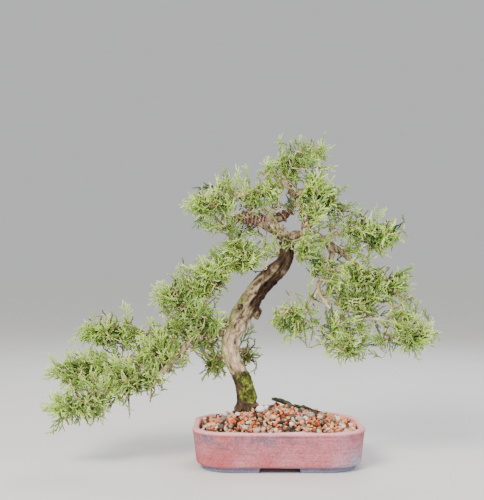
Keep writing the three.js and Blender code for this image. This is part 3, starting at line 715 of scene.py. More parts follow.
def makeStone(rng, angular):
    # a stone of radius about 1: a hull of random points with its edges worn, or a lumpy pebble
    stone = bmesh.new()
    if angular:
        count = rng.integers(11, 17)
        spots = unit(rng.normal(size=(count, 3))) * rng.uniform(0.82, 1.12, (count, 1))
        for spot in spots:
            stone.verts.new(spot)
        hull = bmesh.ops.convex_hull(stone, input=stone.verts)
        inner = {v for v in hull["geom_interior"] + hull["geom_unused"]
                 if isinstance(v, bmesh.types.BMVert)}
        bmesh.ops.delete(stone, geom=list(inner), context="VERTS")
        bmesh.ops.dissolve_limit(stone, angle_limit=0.2, verts=stone.verts, edges=stone.edges)
        bmesh.ops.bevel(stone, geom=stone.edges, offset=0.07, segments=1, affect="EDGES",
                        clamp_overlap=True)
        bmesh.ops.triangulate(stone, faces=stone.faces)
    else:
        bmesh.ops.create_icosphere(stone, subdivisions=2, radius=1)
    mesh = bpy.data.meshes.new("stone")
    stone.to_mesh(mesh)
    stone.free()
    points = getPoints(mesh)
    points = points * (1 + 0.13 * noiseAt(points, 0.9, rng.uniform(0, 60)))[:, None]
    if angular:
        points = points * (1 + 0.06 * noiseAt(points, 0.3, rng.uniform(0, 60)))[:, None]
    points = points * rng.uniform([0.85, 0.75, 0.55], [1.2, 1.0, 0.85])
    return points, getTriangles(mesh)


def randomTurn(rng):
    axes, _ = np.linalg.qr(rng.normal(size=(3, 3)))
    if np.linalg.det(axes) < 0:
        axes[:, 0] *= -1
    return axes


def stoneCells(mesh, parts, counts):
    # each stone's bake area: one square cell, its top and underside side by side
    columns = math.ceil(math.sqrt(len(parts)))
    stoneOf = np.repeat(np.arange(len(parts)), counts)
    local = np.concatenate([points / max(np.abs(points).max(), 1e-9) for points, _ in parts])
    faces = getTriangles(mesh)
    upward = local[faces].mean(1)[:, 2] >= 0
    flat = local[faces][:, :, :2]
    depth = np.where(upward[:, None], local[faces][:, :, 2], -local[faces][:, :, 2])
    radial = flat / (1.05 + np.maximum(depth, -0.7))[:, :, None]
    cell = stoneOf[faces[:, 0]]
    corner = np.stack([cell % columns, cell // columns], 1)
    u = corner[:, :1] + np.where(upward, 0.26, 0.74)[:, None] + radial[:, :, 0] * 0.13
    v = corner[:, 1:] + 0.5 + radial[:, :, 1] * 0.26
    layer = mesh.uv_layers.new(name="OFBake")
    layer.data.foreach_set("uv", (np.stack([u, v], 2) / columns).astype(np.float32).ravel())


def stoneMaterial(name, stops, spot, bumpSize, roughness, speck):
    material, tree, shader = newMaterial(name, {"Roughness": roughness, "IOR": 1.5,
                                                "Specular IOR Level": 0.3})
    place = addNode(tree, "ShaderNodeTexCoord")
    own = addNode(tree, "ShaderNodeAttribute", {"attribute_name": "stoneTone"})
    tone = addNode(tree, "ShaderNodeValToRGB", {"stops": stops}, {"Fac": (own, "Fac")})
    blotch = addNode(tree, "ShaderNodeTexNoise",
                     {"Scale": perLump(spot), "Detail": 4, "Roughness": 0.65},
                     {"Vector": (place, "Object")})
    shade = addNode(tree, "ShaderNodeValToRGB", {"stops": [(0.3, speck), (0.62, "#d0ccc7")]},
                    {"Fac": (blotch, 0)})
    mixed = addNode(tree, "ShaderNodeMix", {"data_type": "RGBA", "blend_type": "OVERLAY", 0: 0.9},
                    {6: (tone, 0), 7: (shade, 0)})
    pits = addNode(tree, "ShaderNodeTexNoise", {"Scale": perLump(bumpSize), "Detail": 3},
                   {"Vector": (place, "Object")})
    bump = addNode(tree, "ShaderNodeBump", {"Strength": 0.6, "Distance": 0.5 * mm},
                   {"Height": (pits, 0)})
    link(tree, shader, {"Base Color": (mixed, 2), "Normal": (bump, 0)})
    return material


# lava, crushed: orange-red to liver, pitted, with no shine at all
lavaMaterial = stoneMaterial("lavaCrushed", [
    (0.0, "#3d241b"), (0.14, "#96472c"), (0.3, "#e2804c"),
    (0.55, "#f39b66"), (0.8, "#fac192"), (1.0, "#dd8554")],
    1.4 * mm, 0.9 * mm, 0.92, "#5a4a44")
# baked clay, crumbled: tan and brown, powdery
clayGritMaterial = stoneMaterial("bakedClayCrumbled", [
    (0.0, "#2f241e"), (0.2, "#6f543f"), (0.45, "#bb9674"),
    (0.7, "#dfc09b"), (0.9, "#f1dfc7"), (1.0, "#8a6850")],
    1.8 * mm, 1.0 * mm, 0.9, "#5e554c")
# river pebbles, tumbled: smooth greys and milky white, with a slight sheen
pebbleMaterial = stoneMaterial("pebblesTumbled", [
    (0.0, "#242120"), (0.22, "#504a46"), (0.42, "#968c83"),
    (0.62, "#c3b8ac"), (0.82, "#e2dad0"), (1.0, "#f8f5ef")],
    2.2 * mm, 1.6 * mm, 0.6, "#77726c")
gritMaterials = {"grit_lava": lavaMaterial, "grit_baked_clay": clayGritMaterial,
                 "grit_pebbles": pebbleMaterial}


def makeGrit():
    rng = np.random.default_rng(gritBed["seed"])
    shapes = {}
    for kind, (_, angular) in gritBed["kinds"].items():
        shapes[kind] = [makeStone(rng, angular) for _ in range(gritBed["shapes"])]
    placed = {kind: [] for kind in gritBed["kinds"]}
    shares = [share for share, _ in gritBed["kinds"].values()]
    for spacing, lift, smallest, largest in gritBed["layers"]:
        rows = int(trayHalf.y * 2 / (spacing * gritBed["rowPitch"])) + 1
        columns = int(trayHalf.x * 2 / spacing) + 1
        for row in range(rows):
            for column in range(columns):
                jitter = rng.uniform(-gritBed["jitter"], gritBed["jitter"], 3) * spacing
                x = trayLow.x + (column + 0.5 * (row % 2)) * spacing + jitter[0]
                y = trayLow.y + row * spacing * gritBed["rowPitch"] + jitter[1]
                kind = list(placed)[rng.choice(len(shares), p=shares)]
                radius = smallest + (largest - smallest) * rng.random() ** 1.6
                turned = randomTurn(rng)
                shape = shapes[kind][rng.integers(len(shapes[kind]))]
                tone = rng.random()
                if roomAt(x, y) > radius * 0.95 + 0.4 * mm:
                    height = domeAt(x, y) + lift + jitter[2] * 0.25
                    points = shape[0] @ turned.T * radius
                    placed[kind].append((points, shape[1], np.array([x, y, height]), tone))
    for i, (kind, stones) in enumerate(placed.items()):
        parts = [(points + place, faces) for points, faces, place, _ in stones]
        points, faces, counts = joinArrays(parts)
        mesh = meshFrom(kind, points, faces, smooth=kind == "grit_pebbles")
        setValues(mesh, "stoneTone", np.repeat([tone for _, _, _, tone in stones], counts))
        stoneCells(mesh, [(points, faces) for points, faces, _, _ in stones], counts)
        addPiece(kind, mesh, ["grit_layer"] if i == 0 else [], gritMaterials[kind])
        print(kind, len(stones), "stones", len(faces), "faces")


def makeShadeSheet():
    # painted shade: a dark sheet in compost colour just under the stones, seen in the gaps between
    # them
    steps, inset = 160, tray["wall"] + 0.6 * mm
    scales = [1, 0.97, 0.93, 0.87, 0.8, 0.72, 0.63, 0.53, 0.42, 0.3, 0.18, 0.07]
    rings = [trayOutline(inset, rimHeight - gritBed["bedDepth"], steps)]
    middle = np.array([trayMiddle.x, trayMiddle.y])
    for scale in scales:
        ring = trayOutline(inset, 0, steps)
        ring[:, :2] = middle + (ring[:, :2] - middle) * scale
        height = domeAt(ring[:, 0], ring[:, 1]) - gritBed["shadeSheetDrop"]
        ring[:, 2] = height + noiseAt(ring, 5 * mm, 3) * 0.7 * mm
        rings.append(ring)
    addPiece("grit_shade_sheet", meshFrom("grit_shade_sheet", *loft(rings)), [], compostMaterial)


makeGrit()
makeShadeSheet()

looseStones = {  # angular or rounded, its material and its place in that material's tones
    "stone_white_large": (False, pebbleMaterial, 0.97),
    "stone_white_small": (False, pebbleMaterial, 0.88),
    "stone_grey_left": (False, pebbleMaterial, 0.35),
    "stone_tan_front": (True, clayGritMaterial, 0.8),
    "stone_grey_right": (False, pebbleMaterial, 0.55),
    "stone_red_right": (True, lavaMaterial, 0.6),
}
for i, (node, (angular, material, tone)) in enumerate(looseStones.items()):
    low, high = (np.array(corner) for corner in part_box(node))
    points, faces = makeStone(np.random.default_rng(30 + i), angular)
    middle, half = (points.max(0) + points.min(0)) / 2, (points.max(0) - points.min(0)) / 2
    points = (low + high) / 2 + (points - middle) / half * (high - low) / 2
    mesh = meshFrom(node.replace("stone", "pebble"), points, faces, smooth=not angular)
    setValues(mesh, "stoneTone", np.full(len(points), tone))
    addPiece(node.replace("stone", "pebble"), mesh, [node], material)
print("grit ready")


# Wood: the trunk is one skin of old juniper bark and its branches another

wood = {
    "voxel": 0.85 * mm,
    "branchVoxel": 0.72 * mm,
    "grow": 0.35 * mm,  # kept over the CAD solids, since smoothing shrinks
    "muscle": 1.5 * mm,  # long swellings
    "plates": 0.62 * mm,  # flaky plates of bark
    "fibres": 0.32 * mm,
    "hollowDepth": 3.2 * mm,
    "shoulder": 4.2 * mm,  # how far the upper trunk swells on its upper side
    "slimFoot": 2.2 * mm,  # how far the foot is worn back under the moss
    "footReach": 12.5 * mm,  # the roots dive steeply from here out
    "rootFlutes": 1.3 * mm,
    "stubReach": 15 * mm,  # the torn stub beside the scar is worn back towards here
    "shoulderHeights": (192 * mm, 216 * mm, 268 * mm, 292 * mm),  # starts, full, full, ends
    "stubHeights": (190 * mm, 200 * mm, 218 * mm, 230 * mm),
    "greyHeights": (172 * mm, 212 * mm),  # from tan bark below to grey-brown above
    "crownShadeHeights": (258 * mm, 274 * mm),  # from here up, under the crown, the bark is painted nearly black: painted shade
    "slimHeights": (62 * mm, 42 * mm),  # these three are over the stones
    "rootHeights": (34 * mm, 8 * mm),
    "darkFoot": (56 * mm, 49 * mm),  # from here down it is nearly black again
    "lichen": 0.85,  # how well it covers the bark on the left
    "lichenHeights": (255 * mm, 215 * mm),
    "thinTwig": (9 * mm, 4.5 * mm),  # wood this thick starts to pale, and is as pale as a twig
}
scar = {
    "middle": np.array([36 * mm, -6 * mm, 242 * mm]),
    "along": np.array([0.62, 0, 0.78]),
    "facing": np.array([0.62, -0.62, -0.42]),
    "halfLength": (38 * mm, 26 * mm),  # where it ends, and up to where it is whole
}
branchNodes = sorted(name for name in cadNodes if name.startswith("branch_"))
_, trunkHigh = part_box("trunk")
footHeight = domeAt(-42 * mm + trayMiddle.x, trayMiddle.y)


def trunkCentres():
    # the trunk's middle line, from the grit up, by slices
    points, faces = inflatedNodes(["trunk"], 0)
    dense = getPoints(remeshed("slices", points, faces, 2.5 * mm, 0))
    heights = np.arange(footHeight + 4 * mm, trunkHigh.z - 4 * mm, 7 * mm)
    centres = []
    for height in heights:
        near = dense[np.abs(dense[:, 2] - height) < 4 * mm]
        centres.append([*((near.max(0) + near.min(0)) / 2)[:2], height])
    centres = np.array(centres)
    for _ in range(3):
        centres[1:-1] = (centres[:-2] + 2 * centres[1:-1] + centres[2:]) / 4
    foot = centres[0] - [[0, 0, 30 * mm]]
    top = centres[-1] + (centres[-1] - centres[-2]) * 2
    return curveThrough(np.concatenate([foot, centres, [top]]), 3 * mm)


def alongTrunk(points, line):
    # each point's place in the trunk as if it were pulled straight: across, up, and along
    lengths = np.concatenate([[0], np.cumsum(np.linalg.norm(np.diff(line, axis=0), axis=1))])
    tangents = unit(np.gradient(line, axis=0))
    side = np.array([0, 1.0, 0])
    across, up = [], []
    for tangent in tangents:
        first, second, _ = frameOf(tangent, side)
        side = second
        across.append(first)
        up.append(second)
    tree = KDTree(len(line))
    for i, p in enumerate(line):
        tree.insert(p, i)
    tree.balance()
    nearest = np.array([tree.find(p)[1] for p in points])
    offset = points - line[nearest]
    local = np.stack([(offset * np.array(across)[nearest]).sum(1),
                      (offset * np.array(up)[nearest]).sum(1),
                      lengths[nearest] + (offset * tangents[nearest]).sum(1)], 1)
    return local, nearest


def ridges(points, size, seed):
    return 1 - 2 * np.abs(noiseAt(points, size, seed))


def scarShare(points, normals):
    # an old scar on the underside of the upper trunk, torn to the dark wood
    run = np.abs((points - scar["middle"]) @ unit(scar["along"]))
    facing = unit(normals) @ unit(scar["facing"])
    edge = noiseAt(points, 7 * mm, 8) * 0.22 + noiseAt(points, 2.6 * mm, 9) * 0.12
    across = smoothStep(0.28, 0.6, facing + edge)
    return across * smoothStep(*scar["halfLength"], run + edge * 14 * mm)


def heightBand(z, heights):
    starts, full, fullTo, ends = heights
    return smoothStep(starts, full, z) * smoothStep(ends, fullTo, z)


def trunkShape(points, normals, nearest):
    # broad at the leaning shoulder, slim at the foot
    z = points[:, 2]
    band = heightBand(z, wood["shoulderHeights"])
    upper = smoothStep(0.05, 0.8, unit(normals) @ unit(np.array([-0.75, 0, 0.66])))
    foot = smoothStep(*wood["slimHeights"], z - footHeight)
    right = smoothStep(-0.3, 0.6, unit(normals)[:, 0])
    growth = band * upper * wood["shoulder"] - foot * right * wood["slimFoot"]
    points = points + normals * growth[:, None]
    offset = (points - trunkLine[nearest]) * [1, 1, 0]
    reach = np.linalg.norm(offset, axis=1)
    nearStones = smoothStep(*wood["rootHeights"], z - footHeight)
    excess = 0.4 * nearStones * np.maximum(reach - wood["footReach"], 0)
    stub = heightBand(z, wood["stubHeights"]) * right
    excess += 0.6 * stub * np.maximum(reach - wood["stubReach"], 0)
    flutes = 5
    turns = np.arctan2(offset[:, 1], offset[:, 0]) * flutes + noiseAt(points, 12 * mm, 17) * 3
    excess += nearStones * wood["rootFlutes"] * np.cos(turns)
    return points - offset * (excess / np.maximum(reach, mm))[:, None]


def barkMaterial():
    # juniper bark, weathered: dry, stringy flakes that leave the eye with long grain and no shine
    material, tree, shader = newMaterial("juniperBarkWeathered",
                                         {"Roughness": 0.92, "Specular IOR Level": 0.18})
    along = addNode(tree, "ShaderNodeAttribute", {"attribute_name": "barkPlace"})
    values = {name: addNode(tree, "ShaderNodeAttribute", {"attribute_name": name})
              for name in ("scar", "lichen", "height", "thin", "crack")}
    grainWay = addNode(tree, "ShaderNodeMapping", {"Scale": (1, 1, 0.28)},
                       {"Vector": (along, "Vector")})
    flakes = addNode(tree, "ShaderNodeTexNoise",
                     {"Scale": perLump(4.5 * mm), "Detail": 6, "Roughness": 0.68,
                      "Distortion": 0.4}, {"Vector": (grainWay, 0)})
    patches = addNode(tree, "ShaderNodeTexNoise", {"Scale": perLump(15 * mm), "Detail": 3},
                      {"Vector": (grainWay, 0)})
    fine = addNode(tree, "ShaderNodeTexNoise", {"Scale": perLump(1.7 * mm), "Detail": 3},
                   {"Vector": (grainWay, 0)})
    low = addNode(tree, "ShaderNodeValToRGB", {"stops": [
        (0.32, "#5c4b3a"), (0.42, "#9d8a72"), (0.51, "#cab79b"), (0.62, "#e6dac2")]},
                  {"Fac": (flakes, 0)})
    high = addNode(tree, "ShaderNodeValToRGB", {"stops": [
        (0.34, "#241c15"), (0.43, "#574a3a"), (0.52, "#8a7b63"), (0.63, "#b9ab90")]},
                   {"Fac": (flakes, 0)})
    body = addNode(tree, "ShaderNodeMix", {"data_type": "RGBA"},
                   {0: (values["height"], "Fac"), 6: (low, 0), 7: (high, 0)})
    rosy = addNode(tree, "ShaderNodeValToRGB", {"stops": [(0.36, "#7d7469"), (0.64, "#c6b9a8")]},
                   {"Fac": (patches, 0)})
    warmed = addNode(tree, "ShaderNodeMix", {"data_type": "RGBA", "blend_type": "OVERLAY", 0: 0.5},
                     {6: (body, 2), 7: (rosy, 0)})
    # thin twigs are paler and smoother, tan to grey-white
    twig = addNode(tree, "ShaderNodeValToRGB", {"stops": [
        (0.3, "#86744f"), (0.48, "#b9a67d"), (0.62, "#ddd0ae")]}, {"Fac": (flakes, 0)})
    thinned = addNode(tree, "ShaderNodeMix", {"data_type": "RGBA"},
                      {0: (values["thin"], "Fac"), 6: (warmed, 2), 7: (twig, 0)})
    lichenTone = addNode(tree, "ShaderNodeValToRGB",
                         {"stops": [(0.35, "#757a3a"), (0.65, "#a0a65c")]},
                         {"Fac": (fine, 0)})
    lichened = addNode(tree, "ShaderNodeMix", {"data_type": "RGBA"},
                       {0: (values["lichen"], "Fac"), 6: (thinned, 2), 7: (lichenTone, 0)})
    # dark wood: the torn scar, the painted shade at the trunk's top and the dark foot
    darkBarkTone = addNode(tree, "ShaderNodeValToRGB", {"stops": [
        (0.3, "#17110c"), (0.5, "#37281d"), (0.7, "#604835")]}, {"Fac": (flakes, 0)})
    darkened = addNode(tree, "ShaderNodeMix", {"data_type": "RGBA"},
                      {0: (values["scar"], "Fac"), 6: (lichened, 2), 7: (darkBarkTone, 0)})
    cracked = addNode(tree, "ShaderNodeMix",
                      {"data_type": "RGBA", "blend_type": "MULTIPLY", 7: srgb("#5a4636")},
                      {0: (values["crack"], "Fac"), 6: (darkened, 2)})
    height = addNode(tree, "ShaderNodeMath", {"operation": "MULTIPLY_ADD", 1: 0.35},
                     {0: (fine, 0), 2: (flakes, 0)})
    bump = addNode(tree, "ShaderNodeBump", {"Strength": 0.8, "Distance": 0.8 * mm},
                   {"Height": (height, 0)})
    link(tree, shader, {"Base Color": (cracked, 2), "Normal": (bump, 0)})
    return material


trunkLine = trunkCentres()
bark = barkMaterial()


def barkSkin(name, nodes, voxel, smoothing):
    isTrunk = nodes == ["trunk"]
    points, faces = inflatedNodes(nodes, wood["grow"])
    mesh = remeshed(name, points, faces, voxel, smoothing)
    points, normals = getPoints(mesh), getNormals(mesh)
    surface = BVHTree.FromPolygons([Vector(p) for p in points], getTriangles(mesh).tolist())
    thickness = np.empty(len(points))
    for i, (p, n) in enumerate(zip(points, normals)):
        inward = Vector(-n)
        hit = surface.ray_cast(Vector(p) + inward * (0.4 * voxel), inward, 60 * mm)
        thickness[i] = hit[3] if hit[3] is not None else 2 * mm
    local, nearest = alongTrunk(points, trunkLine)
    onTrunk = smoothStep(30 * mm, 20 * mm, np.linalg.norm(local[:, :2], axis=1))
    onTrunk = onTrunk * smoothStep(8 * mm, 15 * mm, thickness)
    place = points + (local - points) * np.round(onTrunk)[:, None]
    grain = place * [1, 1, 0.34]
    thick = np.clip(thickness / (18 * mm), 0.1, 1)
    torn = scarShare(points, normals) * smoothStep(9 * mm, 14 * mm, thickness)
    plates = ridges(grain, 5.5 * mm, 11)
    flaky = np.floor((plates + 1) * 2.2) / 2.2 - 1
    amount = thick ** 1.2 * wood["muscle"] * noiseAt(grain, 16 * mm, 10)
    amount += thick * wood["plates"] * (0.6 * plates + 0.4 * flaky - 0.1)
    amount += thick ** 0.7 * wood["fibres"] * noiseAt(grain, 2 * mm, 12)
    ragged = 0.55 + 0.45 * ridges(grain, 3.4 * mm, 13)
    amount -= torn * wood["hollowDepth"] * ragged
    amount = np.clip(amount, -0.3 * thickness, 0.3 * thickness)
    shrink = smoothStep(3 * mm, 12 * mm, thickness) * 0.1 * mm
    points = points + normals * (amount - shrink)[:, None]
    if isTrunk:
        points = trunkShape(points, normals, nearest)
    setPoints(mesh, points)
    edge = noiseAt(points, 5 * mm, 14)
    facingLeft = -unit(normals)[:, 0]
    lichen = smoothStep(0.35, 0.85, facingLeft + 0.45 * edge)
    lichen = lichen * smoothStep(8 * mm, 14 * mm, thickness) * wood["lichen"]
    z = points[:, 2]
    lichen *= smoothStep(*wood["lichenHeights"], z)
    height = smoothStep(*wood["greyHeights"], z + edge * 9 * mm)
    # painted shade: the trunk's top, under the crown, goes nearly black
    dark = smoothStep(*wood["crownShadeHeights"], z + edge * 6 * mm)
    foot = smoothStep(*wood["darkFoot"], z - footHeight + edge * 5 * mm)
    if not isTrunk:
        height, dark, foot = np.ones(len(points)), dark * 0, foot * 0
    setValues(mesh, "barkPlace", place)
    # the scar value carries the torn scar, the painted shade at the trunk's top and the dark foot
    setValues(mesh, "scar", np.maximum(torn, np.maximum(dark, foot) * 0.92))
    setValues(mesh, "lichen", lichen * (1 - torn) * (1 - foot))
    setValues(mesh, "height", height)
    setValues(mesh, "thin", smoothStep(*wood["thinTwig"], thickness))
    setValues(mesh, "crack", smoothStep(-0.55, -0.95, plates + 0.25 * edge) * thick * 0.8)
    addPiece(name, mesh, nodes, bark)
    print(name, len(mesh.polygons), "faces")
    return points, normals, thickness


trunkPoints, trunkNormals, _ = barkSkin("trunk_wood", ["trunk"], wood["voxel"], 5)
branchPoints, branchNormals, branchThickness = barkSkin("branch_wood", branchNodes,
                                                        wood["branchVoxel"], 4)
print("wood ready")


# Training wire: aluminium coils, each swept again, round and smooth, along its CAD solid

def ringCentres(node, sides=5):
    # the middles of a swept solid's rings, from one end to the other
    mesh = weldedNode(node)
    points = getPoints(mesh)
    neighbours = [set() for _ in points]
    for edge in mesh.edges:
        a, b = edge.vertices
        neighbours[a].add(b)
        neighbours[b].add(a)

    def layersFrom(start):
        seen, layers = set(start), [sorted(start)]
        while layers[-1]:
            fresh = set().union(*(neighbours[v] for v in layers[-1])) - seen
            seen |= fresh
            layers.append(sorted(fresh))
        return layers[:-1]

    far = layersFrom([0])[-1][0]
    end = np.argsort(np.linalg.norm(points - points[far], axis=1))[:sides]
    rings = layersFrom([int(v) for v in end])
    centres = np.array([points[ring].mean(0) for ring in rings if len(ring) == sides])
    radius = np.linalg.norm(points[end] - points[end].mean(0), axis=1).mean()
    return centres, radius


for node in sorted(name for name in cadNodes if name.startswith("wire_")):
    centres, radius = ringCentres(node)
    path = curveThrough(centres, radius * 0.6)
    points, faces = tube(path, np.full(len(path), radius), 12)
    material = paleAluminium if node == "wire_ring" else brownAluminium
    addPiece(node.replace("wire", "coil"), meshFrom(node, points, faces), [node],
             material)
print("wires ready")


# Moss: a cushion coat on the near side of the foot, with leaves standing from it

moss = {
    "coat": 1.1 * mm,
    "cushions": 0.8 * mm,  # how far its cushions swell from that
    "above": 3 * mm,  # how far it climbs past its CAD solid, on the right
    "slant": 11 * mm,  # how much lower it ends on the left
    "leaves": 9000,
    "leafLength": (0.8 * mm, 1.9 * mm),
    "bareFoot": 9 * mm,  # how far over the stones it starts, on the left
    "leafWidth": 0.36 * mm,
    "seed": 6,
}


def makeMoss():
    # cushion moss, alive: velvet soft, so light spreads at its edges
    material, tree, shader = newMaterial("mossCushion",
                                         {"Roughness": 0.9, "Specular IOR Level": 0.2,
                                          "Sheen Weight": 0.25})
    place = addNode(tree, "ShaderNodeTexCoord")
    patch = addNode(tree, "ShaderNodeTexNoise",
                    {"Scale": perLump(7 * mm), "Detail": 5, "Roughness": 0.7},
                    {"Vector": (place, "Object")})
    tone = addNode(tree, "ShaderNodeValToRGB", {"stops": [
        (0.3, "#23260f"), (0.43, "#525921"), (0.55, "#929a35"), (0.69, "#c8d060")]},
                   {"Fac": (patch, 0)})
    link(tree, shader, {"Base Color": (tone, 0)})
    # it grows on the trunk's own skin: thick at the front and right, thinning out to bare bark
    low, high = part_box("moss")
    facing = unit(trunkNormals) @ unit(np.array([0.8, -0.55, 0.15]))
    edge = noiseAt(trunkPoints, 6 * mm, 22)
    z = trunkPoints[:, 2]
    slant = (np.minimum(facing, 0.6) - 0.6) * moss["slant"]
    ceiling = high.z + moss["above"] + slant + edge * 4 * mm
    floorHeight = low.z + moss["bareFoot"] * (1.4 - np.clip(facing, -0.4, 0.9))
    below = smoothStep(ceiling + 2 * mm, ceiling - 3 * mm, z)
    grown = below * smoothStep(-0.05, 0.3, facing + 0.35 * edge)
    grown *= smoothStep(floorHeight - 2 * mm, floorHeight + 3 * mm, z + edge * 4 * mm)
    swell = noiseAt(trunkPoints, 4.5 * mm, 20) * 0.7 + noiseAt(trunkPoints, 1.8 * mm, 21) * 0.35
    amount = grown * (moss["coat"] + swell * moss["cushions"]) - (1 - grown) * 1.5 * mm
    points = trunkPoints + trunkNormals * amount[:, None]
    faces = getTriangles(bpy.data.meshes["trunk_wood"])
    faces = faces[grown[faces].max(1) > 0.02]
    used, faces = np.unique(faces, return_inverse=True)
    sheet = bpy.data.objects.new("moss_sheet",
                                 meshFrom("moss_sheet", points[used], faces.reshape(-1, 3)))
    bpy.context.scene.collection.objects.link(sheet)
    solid = sheet.modifiers.new("thickness", "SOLIDIFY")
    solid.thickness = 1.2 * mm
    solid.offset = -1
    evaluated = sheet.evaluated_get(bpy.context.evaluated_depsgraph_get())
    coat = bpy.data.meshes.new_from_object(evaluated)
    bpy.data.objects.remove(sheet)
    leaves = mossLeaves(points, np.flatnonzero(grown > 0.4))
    points, faces, _ = joinArrays([(getPoints(coat), getTriangles(coat)), *leaves])
    addPiece("moss_cushion", meshFrom("moss_cushion", points, faces), ["moss"], material)


def mossLeaves(points, seats):
    rng = np.random.default_rng(moss["seed"])
    leaves = []
    for i in rng.choice(seats, size=moss["leaves"]):
        normal = trunkNormals[i]
        way = unit(normal * 0.7 + rng.normal(size=3) * 0.55 + [0, 0, 0.25])
        side = unit(np.cross(way, rng.normal(size=3))) * moss["leafWidth"]
        length = rng.uniform(*moss["leafLength"])
        root = points[i] - normal * 0.3 * mm
        tip = root + way * length + np.array([0, 0, -0.15]) * length
        middle = root + way * length * 0.5
        leaf = np.array([root - side * 0.6, root + side * 0.6, middle + side, middle - side, tip])
        leaves.append((leaf, np.array([[0, 1, 2], [0, 2, 3], [3, 2, 4]])))
    return leaves


makeMoss()


def makeDeadRoot():
    # dead root, rotted: near black with a green bloom
    material, tree, shader = newMaterial("deadwoodMossy",
                                         {"Roughness": 0.88, "Specular IOR Level": 0.25})
    place = addNode(tree, "ShaderNodeTexCoord")
    bloom = addNode(tree, "ShaderNodeTexNoise",
                    {"Scale": perLump(6 * mm), "Detail": 5, "Roughness": 0.7},
                    {"Vector": (place, "Object")})
    tone = addNode(tree, "ShaderNodeValToRGB", {"stops": [
        (0.3, "#17150f"), (0.45, "#2f2f20"), (0.58, "#4a5034"), (0.72, "#8b8a70")]},
                   {"Fac": (bloom, 0)})
    bump = addNode(tree, "ShaderNodeBump", {"Strength": 0.7, "Distance": 0.7 * mm},
                   {"Height": (bloom, 0)})
    link(tree, shader, {"Base Color": (tone, 0), "Normal": (bump, 0)})
    points, faces = inflatedNodes(["dead_root"], 0.2 * mm)
    mesh = remeshed("dead_root_wood", points, faces, 0.5 * mm, 4)
    points, normals = getPoints(mesh), getNormals(mesh)
    amount = 0.5 * mm * ridges(points * [0.35, 1, 1], 2.2 * mm, 24)
    amount = amount + 0.5 * mm * noiseAt(points, 5 * mm, 25)
    setPoints(mesh, points + normals * amount[:, None])
    # its thin end runs on over the stones
    low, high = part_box("dead_root")
    run = np.linspace(-6 * mm, 24 * mm, 12)
    x, y = high.x + run, (low.y + high.y) / 2 - run * 0.3
    wander = noiseAt(np.stack([x, y, run], 1), 8 * mm, 26) * 0.8 * mm
    path = np.stack([x, y, domeAt(x, y) + 2.6 * mm + wander], 1)
    thread = tube(path, np.linspace(1.1, 0.5, 12) * mm, 7)
    points, faces, _ = joinArrays([(getPoints(mesh), getTriangles(mesh)), thread])
    addPiece("dead_root_wood", meshFrom("dead_root_wood", points, faces),
             ["dead_root"], material)


makeDeadRoot()
print("moss ready")


# Foliage: forked sprays of scale-leaf juniper, set round the pads on twigs from the branches

foliage = {
    "sprayLengths": (28 * mm, 47 * mm),
    "prototypes": 18,
    "shootRadius": 0.98 * mm,  # the stem with its scale leaves
    "scaleStep": 2.3 * mm,  # from one pair of scales to the next
    "sideStep": 5.4 * mm,  # from one side shoot to the next
    "forkAngles": (30, 45),  # degrees, of the side shoots and then of theirs
    "tipAngles": (28, 42),
    "tipLengths": (6.5 * mm, 12 * mm),  # the last and smallest shoots
    "areaPerSpray": 176 * mm * mm,  # of a pad's surface
    "openPads": {  # pads with fewer sprays for their size
        "foliage_right_outer": 1.45, "foliage_right_low": 1.5, "foliage_hanging_tip": 1.55,
        "foliage_fan_left": 1.1, "foliage_fan_upper": 1.5, "foliage_back_left": 1.5,
        "foliage_back_right": 1.4, "foliage_apex_left": 1.35, "foliage_apex_crown": 1.3,
        "foliage_apex_spike": 1.2, "foliage_apex_right": 1.1,
    },
    "padShares": {  # how much of a pad's width, depth and height its sprays fill
        "foliage_apex_crown": (1, 1, 0.35), "foliage_apex_spike": (0.8, 0.8, 0.85),
        "foliage_apex_right": (1, 1, 1.1), "foliage_right_crown": (0.95, 1, 0.72),
        "foliage_fan_left": (1.12, 1, 1.3),
    },
    "uprightPads": {"foliage_apex_spike": 1.3},  # how strongly their sprays rise; the others 0.2
    "unevenness": 0.2,  # how far tufts stand out of a pad, as a share of its size
    "twigRadius": 0.6 * mm,
    "miniEvery": 13 * mm,  # short shoots along a twig
    "miniLengths": (9, 16),  # in mm
    "branchEvery": 7.5 * mm,  # sprays straight from the thin ends of the branches
    "bridgeEvery": 3.6 * mm,  # sprays on the twigs that run from one pad to the next
    "bridges": [
        ("foliage_apex_left", "foliage_fan_left"), ("foliage_apex_left", "foliage_apex_right"),
        ("foliage_apex_left", "foliage_mid_upper"), ("foliage_apex_right", "foliage_right_crown"),
        ("foliage_front", "foliage_right_middle"), ("foliage_right_middle", "foliage_right_outer"),
        ("foliage_right_middle", "foliage_right_low"), ("foliage_right_low", "foliage_right_outer"),
        ("foliage_right_tip", "foliage_right_outer"), ("foliage_hanging_tip", "foliage_right_low"),
        ("foliage_mid_tip", "foliage_mid_crown"), ("foliage_mid_upper", "foliage_front"),
        ("foliage_left_shoulder", "foliage_back_left"), ("foliage_left_tip", "foliage_left_middle"),
        ("foliage_left_inner", "foliage_left_shoulder"),
        ("foliage_left_inner", "foliage_left_middle"),
    ],
    "bareTwigs": 90,  # thin leafless twigs on the branches
    "trunkInSight": 22 * mm,  # from this far under its top, no loose spray comes near the trunk
    "trunkClearance": 24 * mm,
    "seed": 21,
}
padNodes = sorted(name for name in cadNodes if name.startswith("foliage_"))


